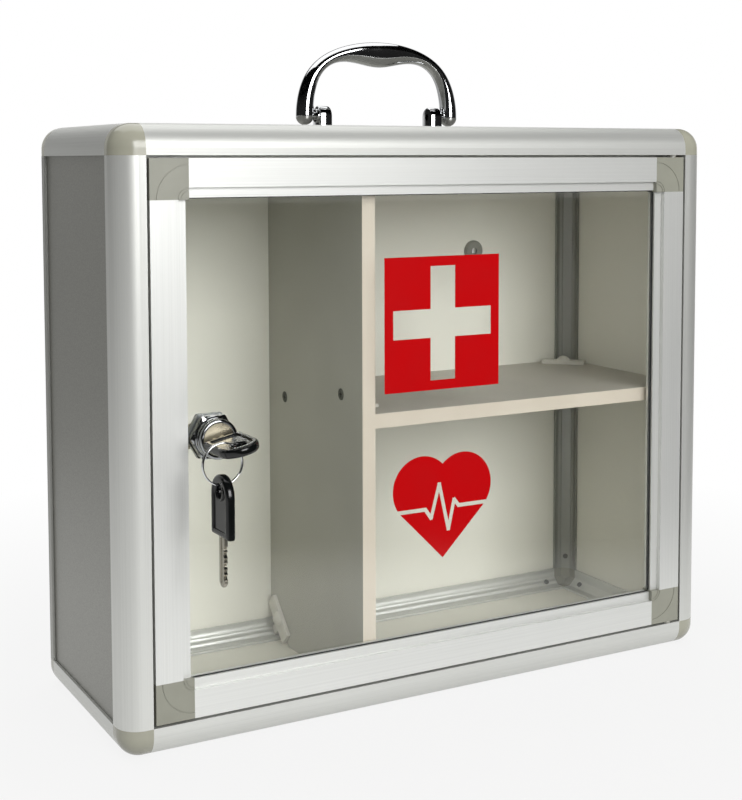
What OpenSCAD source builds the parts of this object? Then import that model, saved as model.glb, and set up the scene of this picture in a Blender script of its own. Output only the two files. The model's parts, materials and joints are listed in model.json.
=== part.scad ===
// Lockable wall cabinet: an extruded frame with panels, a hinged glass door, a divider, a shelf,
// a folding carry handle, and a lock with a key in it and a spare key on the same ring.
// Millimetres. The front looks along -Y, +X is to the right, and the base lies on z = 0.
// The origin is under the middle of the whole part, so the front face is at y = front_y.

/* [Casing] */
// Overall width of the casing
case_w = 398; // [320:1:480]
// Height of the casing without the handle
case_h = 340; // [280:5:420]
// Depth of the casing from its front face to its back
case_d = 146; // [120:2:200]
// Width of a casing extrusion on each of its two sides
rail = 17; // [16:0.25:19]
// Radius of the rounded outer edge of the casing
round_r = 13; // [10:0.25:15]
// Thickness of the five wall panels
panel_t = 3; // [2.5:0.1:3.4]
// How far a wall panel sits in from the outer face of the frame
panel_in = 1.6; // [1.4:0.05:1.9]
// How deep a panel edge sits in the slot of an extrusion
panel_grip = 4; // [3:0.25:4.5]
// Thickness of the inner lip of an extrusion
lip_t = 1.6; // [1.2:0.1:2]
// Side of the 45 degree band inside an extrusion, measured along one wall
band = 4.6; // [4:0.1:5]
// Gap all round a panel edge in its slot
slide = 0.1; // [0.05:0.05:0.15]
// Length of the leg of a corner piece inside an extrusion
leg_len = 20; // [16:1:26]
// Thickness of that leg
leg_t = 2.3; // [2:0.1:2.4]
// Width of that leg
leg_w = 6.6; // [5:0.2:7]
// Gap round the leg in its channel
leg_gap = 0.2; // [0.1:0.05:0.25]

/* [Door] */
// Gap between the door and the casing
door_gap = 1.5; // [1.4:0.1:2]
// Thickness of the door
door_t = 11; // [10:0.25:12]
// Width of the door frame from its outer edge to the glass
door_bar = 21; // [19:0.5:25]
// Width of the front face of the door frame, up to the step
face_w = 15.6; // [14.5:0.1:16.5]
// How far the inner strip of the door frame sits behind its face
step_in = 3; // [2:0.1:3.4]
// Thickness of that inner strip
strip_t = 1.4; // [1.2:0.1:1.6]
// Thickness of the glass pane
glass_t = 4; // [3:0.1:4.2]
// Thickness of the black seal in front of the glass
seal_t = 0.6; // [0.4:0.05:0.8]
// How far the seal shows past the inner strip
seal_show = 0.5; // [0.2:0.1:1]
// How deep the glass sits in the door frame
glass_grip = 6; // [5:0.25:6.25]
// Side of the square corner piece of the door
door_corner = 22; // [21.5:0.25:26]
// Length of the leg of a door corner piece
door_leg = 18; // [12:1:24]
// Radius of the larger engraved arc on a door corner piece
arc_r = 18.5; // [12:0.5:19]
// Radius of the smaller engraved arc
arc_small_r = 6.4; // [4:0.2:9]
// Width of an engraved line
arc_w = 0.7; // [0.4:0.1:1]
// Depth of an engraved line
arc_deep = 0.35; // [0.2:0.05:0.6]
// Gap between the turning corner of the door and the stop lip
swing_gap = 0.3; // [0.2:0.05:0.5]
// Thickness of the stop lip
stop_t = 1.5; // [1.2:0.1:1.8]
// How far the stop lip reaches into the door opening
stop_reach = 4; // [3:0.25:4.25]
// Radius of a door bumper
bumper_r = 1.7; // [1.2:0.1:1.9]
// Height of a bumper from the base, and of the other one from the top
bumper_z = 62; // [40:2:90]
// Gap between a bumper and the closed door
fit = 0.3; // [0.2:0.05:0.4]

/* [Hinge] */
// Distance from the right edge of the door to the hinge pins
pin_in = 6; // [5.5:0.25:7]
// Distance from the front face to the hinge pins
pin_y = 4; // [4:0.1:4.5]
// Radius of a hinge pin
pin_r = 1.5; // [1.2:0.1:1.7]
// How deep a pin sits in the door
pin_deep = 9; // [6:0.5:12]
// Radius of the bush that carries a pin
bush_r = 2.4; // [2.2:0.1:2.5]
// How deep a bush sits in the casing
bush_deep = 5.5; // [4:0.25:6]
// Radial gap of a part that turns or slides
run = 0.05; // [0.03:0.01:0.08]

/* [Inside] */
// Thickness of the divider and of the shelf
board_t = 8.5; // [7:0.5:10]
// Distance from the middle of the cabinet to the left face of the divider
divider_left = 48.5; // [20:0.5:80]
// Distance from the front face to the front edge of the divider
board_y = 13; // [12:0.25:14]
// How far the front edge of the shelf sits behind that of the divider
shelf_back = 0.7; // [0.3:0.1:4]
// Height of the underside of the shelf
shelf_z = 164; // [120:2:220]
// Length of the corner cut of a board, measured along one wall
board_cut = 27; // [26.5:0.25:30]
// Gap between a board and the clip that grips it
board_gap = 0.1; // [0.05:0.05:0.15]
// Width of a corner clip
clip_w = 30; // [24:1:34]
// Wall of a corner clip over the board
clip_t = 2.4; // [1.8:0.1:3]
// How far a corner clip grips the board
clip_grip = 8; // [6:0.5:10]
// Radius of the dome on a corner clip
clip_dome_r = 5; // [4:0.25:6]
// Width of the foot of a corner clip
clip_foot_w = 6; // [4:0.5:8]
// Length of a leg of the bracket between the divider and the shelf
bracket_leg = 14; // [12:0.5:18]
// Thickness of that bracket
bracket_t = 2; // [1.5:0.1:2.5]
// Width of that bracket
bracket_w = 12; // [10:0.5:16]
// Distance from the front face to the front screw of the divider
screw_front_y = 40; // [32:1:60]
// Distance from the front face to the rear screw of the divider
screw_rear_y = 118; // [100:1:122]
// Radius of the shank of a board screw
screw_r = 1.5; // [1.3:0.1:1.8]
// Radius of the head of a board screw
screw_head_r = 3.6; // [3:0.1:4]
// Height of the head of a board screw
screw_head_h = 2.2; // [1.8:0.1:2.6]
// Width of the cross recess in a screw head
recess_w = 0.9; // [0.6:0.1:1.2]
// Length of the part of a board screw that grips the shelf
screw_grip = 14; // [8:1:20]

/* [Wall fixing] */
// Distance between the wall holes across the cabinet
hole_span_x = 229; // [180:1:260]
// Distance of the middle of the wall holes to the right of the cabinet's middle
hole_shift = -4; // [-8:0.5:8]
// Distance between the wall holes up the cabinet
hole_span_z = 172; // [120:2:220]
// Radius of a wall hole
hole_r = 2.25; // [2:0.05:2.75]
// Radius of the washer round a wall hole
washer_r = 7.4; // [6:0.2:9]
// Thickness of that washer
washer_t = 2.2; // [1.6:0.1:3]

/* [Frame screws] */
// Distance from the end of an extrusion to its screw
frame_screw_at = 9; // [6:0.5:12]
// Radius of a frame screw
frame_screw_r = 1; // [0.8:0.1:1.2]
// Radius of the head of a frame screw
frame_head_r = 1.8; // [1.5:0.1:2.2]
// Height of the head of a frame screw
frame_head_h = 0.9; // [0.6:0.1:1.2]

/* [Lock] */
// Distance from the left edge of the door to the axis of the lock
lock_in = 35.5; // [34.5:0.25:36]
// Height of the lock
lock_z = 171; // [140:1:200]
// Radius of the bezel
bezel_r = 11; // [10.5:0.1:12]
// How far the bezel stands in front of the front face of the door
bezel_out = 6; // [4:0.25:8]
// Across-corners radius of the six-sided collar
collar_r = 13.5; // [12.5:0.1:13.75]
// Thickness of that collar
collar_t = 3.5; // [2.5:0.25:4]
// Radius of the barrel through the glass
barrel_r = 9; // [8.4:0.1:9.4]
// Gap between the barrel and the hole in the glass
glass_hole_gap = 0.3; // [0.2:0.05:0.5]
// Radius of the face of the plug
plug_face_r = 8.8; // [7.5:0.1:9.2]
// How far the plug face sits behind the bezel
plug_back = 0.8; // [0.4:0.1:1.4]
// Thickness of the wide front part of the plug
plug_head_t = 2.6; // [2:0.1:3.2]
// Radius of the body of the plug
plug_r = 6.2; // [5.6:0.1:6.8]
// Across-corners radius of the nut behind the glass
nut_r = 13.9; // [12.5:0.1:14]
// Thickness of that nut
nut_t = 3.5; // [2.5:0.25:5]
// Length of the cam from the lock axis to its tip
cam_len = 33; // [28:0.5:33.5]
// Thickness of the cam
cam_t = 2; // [1.5:0.1:2.5]
// Radius of the cam round the lock axis
cam_r = 8; // [7:0.25:9]
// Radius of the cam at its tip
cam_tip_r = 6.5; // [5.5:0.25:7]
// Side of the square that carries the cam
cam_square = 6.4; // [5.5:0.1:7]
// Gap between the keeper plate and the cam
cam_gap = 0.7; // [0.4:0.1:1]
// How far the lock stands turned in the rest position, in degrees
rest_turn = 12; // [8:1:14]
// Thickness of the keeper plate
keeper_t = 1.5; // [1.2:0.1:1.8]
// Height of the lower edge of the keeper plate above the lock axis
keeper_low = 6; // [5:0.5:9]
// Height of the keeper plate
keeper_h = 28; // [24:1:34]
// How far the keeper plate reaches in from the outer face of the casing
keeper_reach = 35; // [32:0.5:36]

/* [Keys] */
// Width of the bow of a key
bow_w = 22; // [19:0.5:24]
// Length of the bow of a key
bow_len = 32.5; // [30:0.5:38]
// Thickness of the bow of a key
bow_t = 5; // [4:0.25:5.5]
// Radius of the hole in the bow
bow_hole_r = 4; // [3.8:0.1:4.4]
// Distance from the end of the bow to the middle of its hole
bow_hole_in = 8.5; // [8:0.25:9.5]
// Depth of the shallow pockets in the bow
pocket = 0.6; // [0.3:0.1:0.9]
// Length of the blade that shows out of the bow
blade_len = 26.6; // [24:0.2:26.8]
// Length of the blade inside the bow
blade_root = 8; // [5:0.5:12]
// Width of the blade
blade_w = 7; // [6:0.1:7.4]
// Thickness of the blade
blade_t = 2; // [1.6:0.1:2.1]
// Depth of the cuts in the edge of the blade
bit_deep = 1.2; // [0.6:0.1:1.6]
// Distance between two cuts of the blade
bit_step = 3.4; // [2.8:0.1:3.8]
// Depth of the groove along the blade
groove_deep = 0.4; // [0.2:0.05:0.6]
// Gap between the blade and the keyway
key_gap = 0.15; // [0.1:0.05:0.2]
// Gap between the tip of the blade and the end of the keyway
tip_gap = 0.6; // [0.4:0.1:0.8]
// Mean radius of the key ring
ring_r = 11; // [10.5:0.25:12]
// Radius of the wire of the key ring
wire_r = 0.5; // [0.4:0.05:0.6]
// Distance between the two coils of the ring
coil_step = 0.9; // [0.7:0.05:0.95]
// Distance from the lock axis to the middle of the ring, to the left
ring_left = 9.9; // [9.4:0.1:10.4]
// Gap between the ring and what it hangs on
hang_gap = 0.3; // [0.2:0.05:0.4]

/* [Handle] */
// How far the handle sits behind the middle of the depth
handle_back = 6; // [-10:1:10]
// Distance from the middle of the handle to the middle of its foot
foot_x = 51.5; // [45:0.5:65]
// Height of the arch of the handle above its pivots
arch_h = 41.5; // [34:0.5:52]
// How square the arch is, from 0 for a half ellipse
arch_square = 0.04; // [0:0.01:0.08]
// Radius of the foot of the handle
foot_r = 5.75; // [5:0.25:6.5]
// Smallest half thickness of the handle, in its shoulders
neck = 2.7; // [2.2:0.1:3.8]
// Extra half thickness of the grip over the shoulders
grip_more = 2; // [1:0.1:3]
// How much further the grip swells on its underside
grip_under = 6.2; // [2:0.2:8]
// Half width of the handle from front to back at the shoulders
side_half = 4.6; // [4:0.1:5.5]
// Extra half width of the grip
grip_side = 2.2; // [1:0.1:2.6]
// Radius of the pivot pins of the handle
pivot_r = 2.4; // [2:0.1:2.8]
// Height of the pivots above the top panel
pivot_up = 9; // [8.5:0.1:10]
// Width of a handle bracket
ear_w = 8; // [6.5:0.25:9]
// Depth of a handle bracket
ear_d = 12; // [10:0.5:14]
// Gap between the foot and the bracket
ear_gap = 2.3; // [1.2:0.1:3]

/* [Stickers] */
// Thickness of a sticker
film = 0.2; // [0.15:0.05:0.25]
// Distance of the middle of both stickers from the middle of the cabinet
sticker_x = 2; // [-20:1:30]
// Height of the middle of the square sticker
square_z = 224.5; // [210:0.5:236]
// Side of the square sticker
square_side = 79; // [60:1:86]
// Length of the cross cut out of the square sticker
cross_len = 67.5; // [50:0.5:72]
// Width of an arm of that cross
cross_w = 17; // [12:0.5:22]
// Height of the middle of the heart sticker
heart_z = 114; // [104:1:122]
// Side of the square inside the heart shape
heart_side = 40; // [28:1:44]
// Width of the pulse line cut out of the heart
pulse_w = 2.4; // [1.6:0.2:3.4]

/* [Hidden] */
$fn = 64;

half_w = case_w / 2;
post_len = case_h - 2 * rail;
cross_rail_len = case_w - 2 * rail;
side_len = case_d - 2 * rail;
slot_lo = panel_in - slide;
slot_w = panel_t + 2 * slide;
slot_deep = panel_grip + 0.5;
wall_in = panel_in + panel_t;
lip_in = wall_in + slide + lip_t;
band_sum = 2 * lip_in + band;
channel_at = band_sum / 2 - (leg_t / 2 + leg_gap + 1) * 0.7071;
band_p = band_sum * 0.7071;
channel_p = channel_at / 0.7071;

door_hw = half_w - rail - door_gap;
door_z0 = rail + door_gap;
door_z1 = case_h - rail - door_gap;
strip_back = step_in + strip_t;
glass_y = strip_back + seal_t;
glass_back = glass_y + glass_t;
slot_back = glass_back + fit / 2;
slot_side = door_bar - glass_grip - 0.5;
glass_edge = door_bar - glass_grip;
door_bar_h = door_z1 - door_z0 - 2 * door_corner;
door_bar_w = 2 * door_hw - 2 * door_corner;
channel_lo = 2;
channel_hi = slot_side - 1.9;
channel_front = 1.8;
channel_back = door_t - 1.8;
hinge_x = door_hw - pin_in;
stop_y = pin_y + norm([pin_in, door_t - pin_y]) + swing_gap;

divider_x0 = -divider_left;
divider_x1 = divider_x0 + board_t;
shelf_y0 = board_y + shelf_back;
shelf_top = shelf_z + board_t;
cut_sum = 2 * wall_in + board_cut;
bracket_screw_z = shelf_top + bracket_leg * 0.62;
shelf_screw_z = shelf_z + board_t / 2;

lock_x = -door_hw + lock_in;
bezel_y = -bezel_out;
plug_y = bezel_y + plug_back;
keeper_y = rail;
cam_y = keeper_y + keeper_t + cam_gap;
barrel_end = cam_y - 1.4;
keyway_end = barrel_end + 0.2;
key_tip_y = keyway_end - tip_gap;
bow_y = key_tip_y - blade_len;
hole_y = bow_y - bow_len + bow_hole_in;
key_reach = max(bow_len - bow_y, bow_w / 2 - hole_y);
rim_x = lock_x - bow_hole_r * cos(rest_turn) - bow_t / 2 * sin(rest_turn);
rim_z = lock_z - bow_hole_r * sin(rest_turn) + bow_t / 2 * cos(rest_turn);
ring_x = lock_x - ring_left;
ring_in = ring_r - wire_r;
ring_z = rim_z - sqrt(pow(ring_in - hang_gap, 2) - pow(ring_x - rim_x, 2));
spare_hole_z = ring_z - sqrt(pow(ring_in, 2) - pow(bow_t / 2, 2)) + hang_gap - bow_hole_r;
spare_top_z = spare_hole_z + bow_hole_in;
keeper_screw_x = -half_w + lip_in + 2;
keeper_screw_dz = [keeper_h * 0.22, keeper_h * 0.78];
panel_edge = rail - panel_grip;

top_face = case_h - panel_in;
pivot_z = top_face + pivot_up;
handle_y = case_d / 2 + handle_back;
ear_out = foot_x - foot_r - ear_gap;
ear_in = ear_out - ear_w;

front_y = (key_reach - case_d) / 2;

// Moves a piece from the front face of the casing to its place over the origin.
module place() {
    translate([0, front_y, 0]) children();
}

// ---- sections and shared shapes ----

// Outline of an extrusion without its hollows: a square with its outer corner rounded.
module quarter() {
    intersection() {
        square(rail);
        union() {
            translate([round_r, round_r]) circle(r = round_r, $fn = 128);
            translate([round_r, 0]) square(rail);
            translate([0, round_r]) square(rail);
        }
    }
}

// Channel for the leg of a corner piece.
module leg_channel() {
    translate([channel_at, channel_at]) rotate(45)
        square([leg_t + 2 * leg_gap, leg_w + 2 * leg_gap], center = true);
}

// Slot for a wall panel, open on the side v = rail.
module panel_slot() {
    translate([slot_lo, rail - slot_deep]) square([slot_w, slot_deep + 1]);
}

// The open inner corner of an extrusion, with its two lips and the 45 degree band between them.
module inner_corner() {
    polygon([
        [rail + 1, lip_in], [lip_in + band, lip_in], [lip_in, lip_in + band],
        [lip_in, rail + 1], [rail + 1, rail + 1]
    ]);
}

// Section of the rear and side extrusions: one slot in each leg.
module plain_section() {
    difference() {
        quarter();
        inner_corner();
        panel_slot();
        mirror([1, -1]) panel_slot();
        leg_channel();
    }
}

// Section of the front extrusions: one slot, a flat side to the door and a stop lip behind it.
module front_section() {
    difference() {
        union() {
            quarter();
            translate([rail - 1, stop_y]) square([stop_reach + 1, stop_t]);
        }
        polygon([
            [rail + stop_reach + 1, stop_y + stop_t], [rail - 3, stop_y + stop_t],
            [lip_in + band, rail], [lip_in + band, rail + 1], [rail + stop_reach + 1, rail + 1]
        ]);
        panel_slot();
        leg_channel();
    }
}

// Hole for a frame screw, from the channel out through the band, at height h of a bar.
module frame_screw_bore(h) {
    translate([channel_at, channel_at, h]) rotate([0, 0, 45]) rotate([0, 90, 0])
        cylinder(r = frame_screw_r + slide, h = rail);
}

// Straight rear or side extrusion standing on z = 0.
module plain_bar(len) {
    difference() {
        linear_extrude(len) plain_section();
        frame_screw_bore(frame_screw_at);
        frame_screw_bore(len - frame_screw_at);
    }
}

// Straight front extrusion standing on z = 0.
module front_bar(len) {
    linear_extrude(len) front_section();
}

// Front extrusion for the top or the bottom, its stop lip shortened where it meets the posts.
module front_cross_bar(len) {
    difference() {
        front_bar(len);
        for (z = [-1, len - stop_reach - fit])
            translate([rail, stop_y - 1, z]) cube([stop_reach + 1, stop_t + 2, stop_reach + fit + 1]);
    }
}

// Lays a bar that stands on z = 0 along X, its section turned to face up from the base.
module lay_along_x(len) {
    translate([len / 2, 0, 0]) rotate([0, -90, 0]) children();
}

// Lays a bar that stands on z = 0 along Y, between the two rows of corner pieces.
module lay_along_y() {
    translate([-half_w, case_d - rail, 0]) rotate([90, 0, 0]) children();
}

module flip_x() { mirror([1, 0, 0]) children(); }

module flip_top() { translate([0, 0, case_h]) mirror([0, 0, 1]) children(); }

module flip_back() { translate([0, case_d, 0]) mirror([0, 1, 0]) children(); }

// ---- casing extrusions ----

// Bores for the screws of the keeper plate.
module keeper_bores() {
    for (dz = keeper_screw_dz)
        translate([keeper_screw_x, keeper_y - 4, lock_z + keeper_low + dz]) rotate([-90, 0, 0])
            cylinder(r = frame_screw_r, h = keeper_t + 6);
}

module front_post_left() {
    color("Gainsboro") place() difference() {
        translate([-half_w, 0, rail]) front_bar(post_len);
        keeper_bores();
    }
}

module front_post_right() {
    color("Gainsboro") place() flip_x() translate([-half_w, 0, rail]) front_bar(post_len);
}

// Bottom front rail with the bore for a hinge bush.
module hinge_rail() {
    difference() {
        lay_along_x(cross_rail_len) front_cross_bar(cross_rail_len);
        translate([hinge_x, pin_y, rail - bush_deep]) cylinder(r = bush_r, h = bush_deep + 1);
    }
}

module front_rail_bottom() {
    color("Gainsboro") place() hinge_rail();
}

module front_rail_top() {
    color("Gainsboro") place() flip_top() hinge_rail();
}

module rear_post_left() {
    color("Gainsboro") place() flip_back() translate([-half_w, 0, rail]) plain_bar(post_len);
}

module rear_post_right() {
    color("Gainsboro") place() flip_x() flip_back() translate([-half_w, 0, rail]) plain_bar(post_len);
}

module rear_rail_bottom() {
    color("Gainsboro") place() flip_back() lay_along_x(cross_rail_len) plain_bar(cross_rail_len);
}

module rear_rail_top() {
    color("Gainsboro") place() flip_top() flip_back() lay_along_x(cross_rail_len) plain_bar(cross_rail_len);
}

module side_rail_bottom_left() {
    color("Gainsboro") place() lay_along_y() plain_bar(side_len);
}

module side_rail_bottom_right() {
    color("Gainsboro") place() flip_x() lay_along_y() plain_bar(side_len);
}

module side_rail_top_left() {
    color("Gainsboro") place() flip_top() lay_along_y() plain_bar(side_len);
}

module side_rail_top_right() {
    color("Gainsboro") place() flip_x() flip_top() lay_along_y() plain_bar(side_len);
}

// ---- casing corner pieces ----

// Wall of a corner piece along z, with the inner fillet of the extrusions.
module corner_wall() {
    linear_extrude(rail) difference() {
        square(rail);
        inner_corner();
    }
}

// Leg of a corner piece along z, with or without the hole for its screw.
module corner_leg(screwed) {
    difference() {
        translate([channel_at, channel_at, rail - 3]) rotate([0, 0, 45])
            translate([-leg_t / 2, -leg_w / 2, 0]) cube([leg_t, leg_w, leg_len + 3]);
        if (screwed) frame_screw_bore(rail + frame_screw_at);
    }
}

// Rounded edge along z between the dome and the extrusion above it.
module dome_edge() {
    translate([round_r, round_r, round_r]) cylinder(r = round_r, h = rail, $fn = 128);
}

// Corner of a box with rounded edges, its corner at the origin.
module corner_dome() {
    translate([round_r, round_r, round_r]) sphere(r = round_r, $fn = 128);
    dome_edge();
    rotate([90, 0, 90]) dome_edge();
    mirror([0, 1, -1]) dome_edge();
    translate([0, round_r, round_r]) cube(rail);
    translate([round_r, 0, round_r]) cube(rail);
    translate([round_r, round_r, 0]) cube(rail);
}

// Domed three-way corner piece with its corner at the origin. Its legs run along +x, +y and +z.
module corner_piece(all_screwed) {
    union() {
        difference() {
            intersection() {
                corner_dome();
                union() {
                    corner_wall();
                    rotate([90, 0, 90]) corner_wall();
                    translate([0, rail, 0]) rotate([90, 0, 0]) corner_wall();
                }
            }
            translate([slot_lo, rail - slot_deep, rail - slot_deep]) cube([slot_w, rail, rail]);
            translate([rail - slot_deep, slot_lo, rail - slot_deep]) cube([rail, slot_w, rail]);
            translate([rail - slot_deep, rail - slot_deep, slot_lo]) cube([rail, rail, slot_w]);
        }
        corner_leg(all_screwed);
        rotate([90, 0, 90]) corner_leg(all_screwed);
        mirror([0, 1, -1]) corner_leg(true);
    }
}

module front_corner() {
    translate([-half_w, 0, 0]) corner_piece(false);
}

module rear_corner() {
    flip_back() translate([-half_w, 0, 0]) corner_piece(true);
}

module corner_front_bottom_left() {
    color("DarkKhaki") place() front_corner();
}

module corner_front_bottom_right() {
    color("DarkKhaki") place() flip_x() front_corner();
}

module corner_front_top_left() {
    color("DarkKhaki") place() flip_top() front_corner();
}

module corner_front_top_right() {
    color("DarkKhaki") place() flip_x() flip_top() front_corner();
}

module corner_rear_bottom_left() {
    color("DarkKhaki") place() rear_corner();
}

module corner_rear_bottom_right() {
    color("DarkKhaki") place() flip_x() rear_corner();
}

module corner_rear_top_left() {
    color("DarkKhaki") place() flip_top() rear_corner();
}

module corner_rear_top_right() {
    color("DarkKhaki") place() flip_x() flip_top() rear_corner();
}

// ---- wall panels ----

module side_panel() {
    translate([-half_w + panel_in, panel_edge, panel_edge])
        cube([panel_t, case_d - 2 * panel_edge, case_h - 2 * panel_edge]);
}

module side_panel_left() {
    color("DimGray") place() side_panel();
}

module side_panel_right() {
    color("DimGray") place() flip_x() side_panel();
}

module level_panel() {
    translate([-half_w + panel_edge, panel_edge, panel_in])
        cube([case_w - 2 * panel_edge, case_d - 2 * panel_edge, panel_t]);
}

module floor_panel() {
    color("Gray") place() level_panel();
}

module top_panel() {
    color("Gray") place() flip_top() level_panel();
}

// Puts a copy at each of the four wall holes.
module at_wall_holes() {
    for (x = [-hole_span_x / 2, hole_span_x / 2], z = [-hole_span_z / 2, hole_span_z / 2])
        translate([hole_shift + x, case_d, case_h / 2 + z]) rotate([90, 0, 0]) children();
}

module back_panel() {
    color("LightGray") place() difference() {
        translate([-half_w + panel_edge, case_d - wall_in, panel_edge])
            cube([case_w - 2 * panel_edge, panel_t, case_h - 2 * panel_edge]);
        at_wall_holes() cylinder(r = hole_r, h = rail);
    }
}

module wall_washers() {
    color("OldLace") place() at_wall_holes() translate([0, 0, wall_in]) difference() {
        union() {
            cylinder(r = washer_r, h = washer_t / 2);
            translate([0, 0, washer_t / 2]) cylinder(r1 = washer_r, r2 = washer_r - washer_t / 2, h = washer_t / 2);
        }
        translate([0, 0, -1]) cylinder(r = hole_r, h = washer_t + 2);
    }
}

// ---- divider, shelf and what holds them ----

// Board outline between two walls, with the cut corners given as a list of four 0 or 1 flags.
module board(a0, a1, b0, b1, cuts) {
    c00 = cuts[0] * board_cut;
    c10 = cuts[1] * board_cut;
    c11 = cuts[2] * board_cut;
    c01 = cuts[3] * board_cut;
    polygon([
        [a0 + c00, b0], [a1 - c10, b0], [a1, b0 + c10], [a1, b1 - c11],
        [a1 - c11, b1], [a0 + c01, b1], [a0, b1 - c01], [a0, b0 + c00]
    ]);
}

// Countersunk hole from the left face of the divider.
module divider_hole(y, z) {
    translate([divider_x0, y, z]) rotate([0, 90, 0]) {
        translate([0, 0, -1]) cylinder(r = screw_r + slide, h = board_t + 2);
        translate([0, 0, -1]) cylinder(r = screw_head_r + slide, h = screw_head_h + 1);
    }
}

module divider() {
    color("Silver") place() difference() {
        translate([divider_x0, 0, 0]) rotate([90, 0, 90]) linear_extrude(board_t)
            board(board_y, case_d - wall_in, wall_in, case_h - wall_in, [1, 1, 1, 1]);
        divider_hole(screw_front_y, bracket_screw_z);
        divider_hole(screw_rear_y, shelf_screw_z);
    }
}

module shelf() {
    color("Silver") place() difference() {
        translate([0, 0, shelf_z]) linear_extrude(board_t)
            board(divider_x1, half_w - wall_in, shelf_y0, case_d - wall_in, [0, 1, 1, 0]);
        translate([divider_x1 - 1, screw_rear_y, shelf_screw_z]) rotate([0, 90, 0])
            cylinder(r = screw_r, h = screw_grip + 1);
    }
}

// White clip over the cut corner of a board. It looks along +x from the corner of the frame.
module clip() {
    edge_p = cut_sum * 0.7071;
    outer = board_t / 2 + board_gap + clip_t;
    difference() {
        union() {
            translate([band_p, -clip_foot_w / 2, -board_t / 2])
                cube([edge_p - band_p, clip_foot_w, board_t]);
            translate([edge_p - clip_t, -clip_w / 2, -outer])
                cube([clip_t + clip_grip, clip_w, 2 * outer]);
            translate([edge_p + clip_grip / 2, 0, outer]) intersection() {
                translate([0, 0, -clip_dome_r * 0.3]) sphere(r = clip_dome_r);
                translate([-clip_dome_r, -clip_dome_r, 0]) cube(2 * clip_dome_r);
            }
        }
        translate([edge_p, -clip_w, -board_t / 2 - board_gap])
            cube([clip_grip + clip_dome_r, 2 * clip_w, board_t + 2 * board_gap]);
    }
}

// Clip on the rear bottom corner of the divider, its dome on the left.
module divider_clip() {
    translate([divider_x0 + board_t / 2, case_d, 0]) rotate([225, 0, 0]) rotate([0, 90, 0])
        mirror([0, 0, 1]) clip();
}

module corner_clips() {
    color("OldLace") place() {
        translate([half_w, case_d, shelf_screw_z]) rotate([0, 0, 225]) clip();
        divider_clip();
        flip_top() divider_clip();
    }
}

module shelf_bracket() {
    color("WhiteSmoke") place() difference() {
        translate([divider_x1, screw_front_y - bracket_w / 2, shelf_top]) {
            cube([bracket_t, bracket_w, bracket_leg]);
            cube([bracket_leg, bracket_w, bracket_t]);
        }
        translate([divider_x1 - 1, screw_front_y, bracket_screw_z]) rotate([0, 90, 0])
            cylinder(r = screw_r, h = bracket_t + 2);
    }
}

// Board screw along +x with the top of its head at x = 0.
module board_screw(len) {
    rotate([0, 90, 0]) difference() {
        union() {
            cylinder(r = screw_head_r, h = screw_head_h);
            cylinder(r = screw_r, h = len);
        }
        for (a = [0, 90]) rotate([0, 0, a])
            translate([-screw_head_r * 0.6, -recess_w / 2, -1])
                cube([screw_head_r * 1.2, recess_w, screw_head_h * 0.6 + 1]);
    }
}

// Frame screw through the band of a bar at height h, in the axes of plain_bar.
module frame_screw(h) {
    translate([0, 0, h]) rotate([0, 0, 45]) rotate([0, 90, 0]) {
        translate([0, 0, channel_p]) cylinder(r = frame_screw_r, h = band_p - channel_p);
        translate([0, 0, band_p]) cylinder(r = frame_head_r, h = frame_head_h);
    }
}

module bar_screws(len) {
    frame_screw(frame_screw_at);
    frame_screw(len - frame_screw_at);
}

module small_screws() {
    color("DarkGray") place() {
        translate([divider_x0, screw_front_y, bracket_screw_z]) board_screw(board_t + bracket_t);
        translate([divider_x0, screw_rear_y, shelf_screw_z]) board_screw(board_t + screw_grip);
        for (dz = keeper_screw_dz)
            translate([keeper_screw_x, keeper_y + keeper_t, lock_z + keeper_low + dz]) rotate([90, 0, 0]) {
                cylinder(r = frame_screw_r, h = keeper_t + 4);
                translate([0, 0, -frame_head_h]) cylinder(r = frame_head_r, h = frame_head_h);
            }
        for (side = [0, 1]) mirror([side, 0, 0]) {
            flip_back() translate([-half_w, 0, rail]) bar_screws(post_len);
            lay_along_y() bar_screws(side_len);
            flip_top() lay_along_y() bar_screws(side_len);
        }
        flip_back() lay_along_x(cross_rail_len) bar_screws(cross_rail_len);
        flip_top() flip_back() lay_along_x(cross_rail_len) bar_screws(cross_rail_len);
    }
}

// Plate that the cam turns behind, on the rear end face of the left front post.
module keeper_plate() {
    color("LightSlateGray") place() difference() {
        translate([-half_w + wall_in + slide, keeper_y, lock_z + keeper_low])
            cube([keeper_reach - wall_in - slide, keeper_t, keeper_h]);
        keeper_bores();
    }
}

// ---- door stops and hinge ----

module door_bumpers() {
    color("WhiteSmoke") place()
        for (z = [bumper_z, case_h - bumper_z])
            translate([-half_w + rail + stop_reach - bumper_r, stop_y, z]) rotate([90, 0, 0])
                cylinder(r = bumper_r, h = stop_y - door_t - fit);
}

module hinge_bush() {
    translate([hinge_x, pin_y, rail - bush_deep]) difference() {
        cylinder(r = bush_r, h = bush_deep + door_gap - fit);
        translate([0, 0, -1]) cylinder(r = pin_r + run, h = bush_deep + door_gap + 2);
    }
}

module hinge_bushes() {
    color("DarkGray") place() {
        hinge_bush();
        flip_top() hinge_bush();
    }
}

module hinge_pin() {
    translate([hinge_x, pin_y, rail - bush_deep + fit])
        cylinder(r = pin_r, h = bush_deep - fit + door_gap + pin_deep);
}

module hinge_pins() {
    color("SlateGray") place() {
        hinge_pin();
        flip_top() hinge_pin();
    }
}

// ---- door ----

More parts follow.
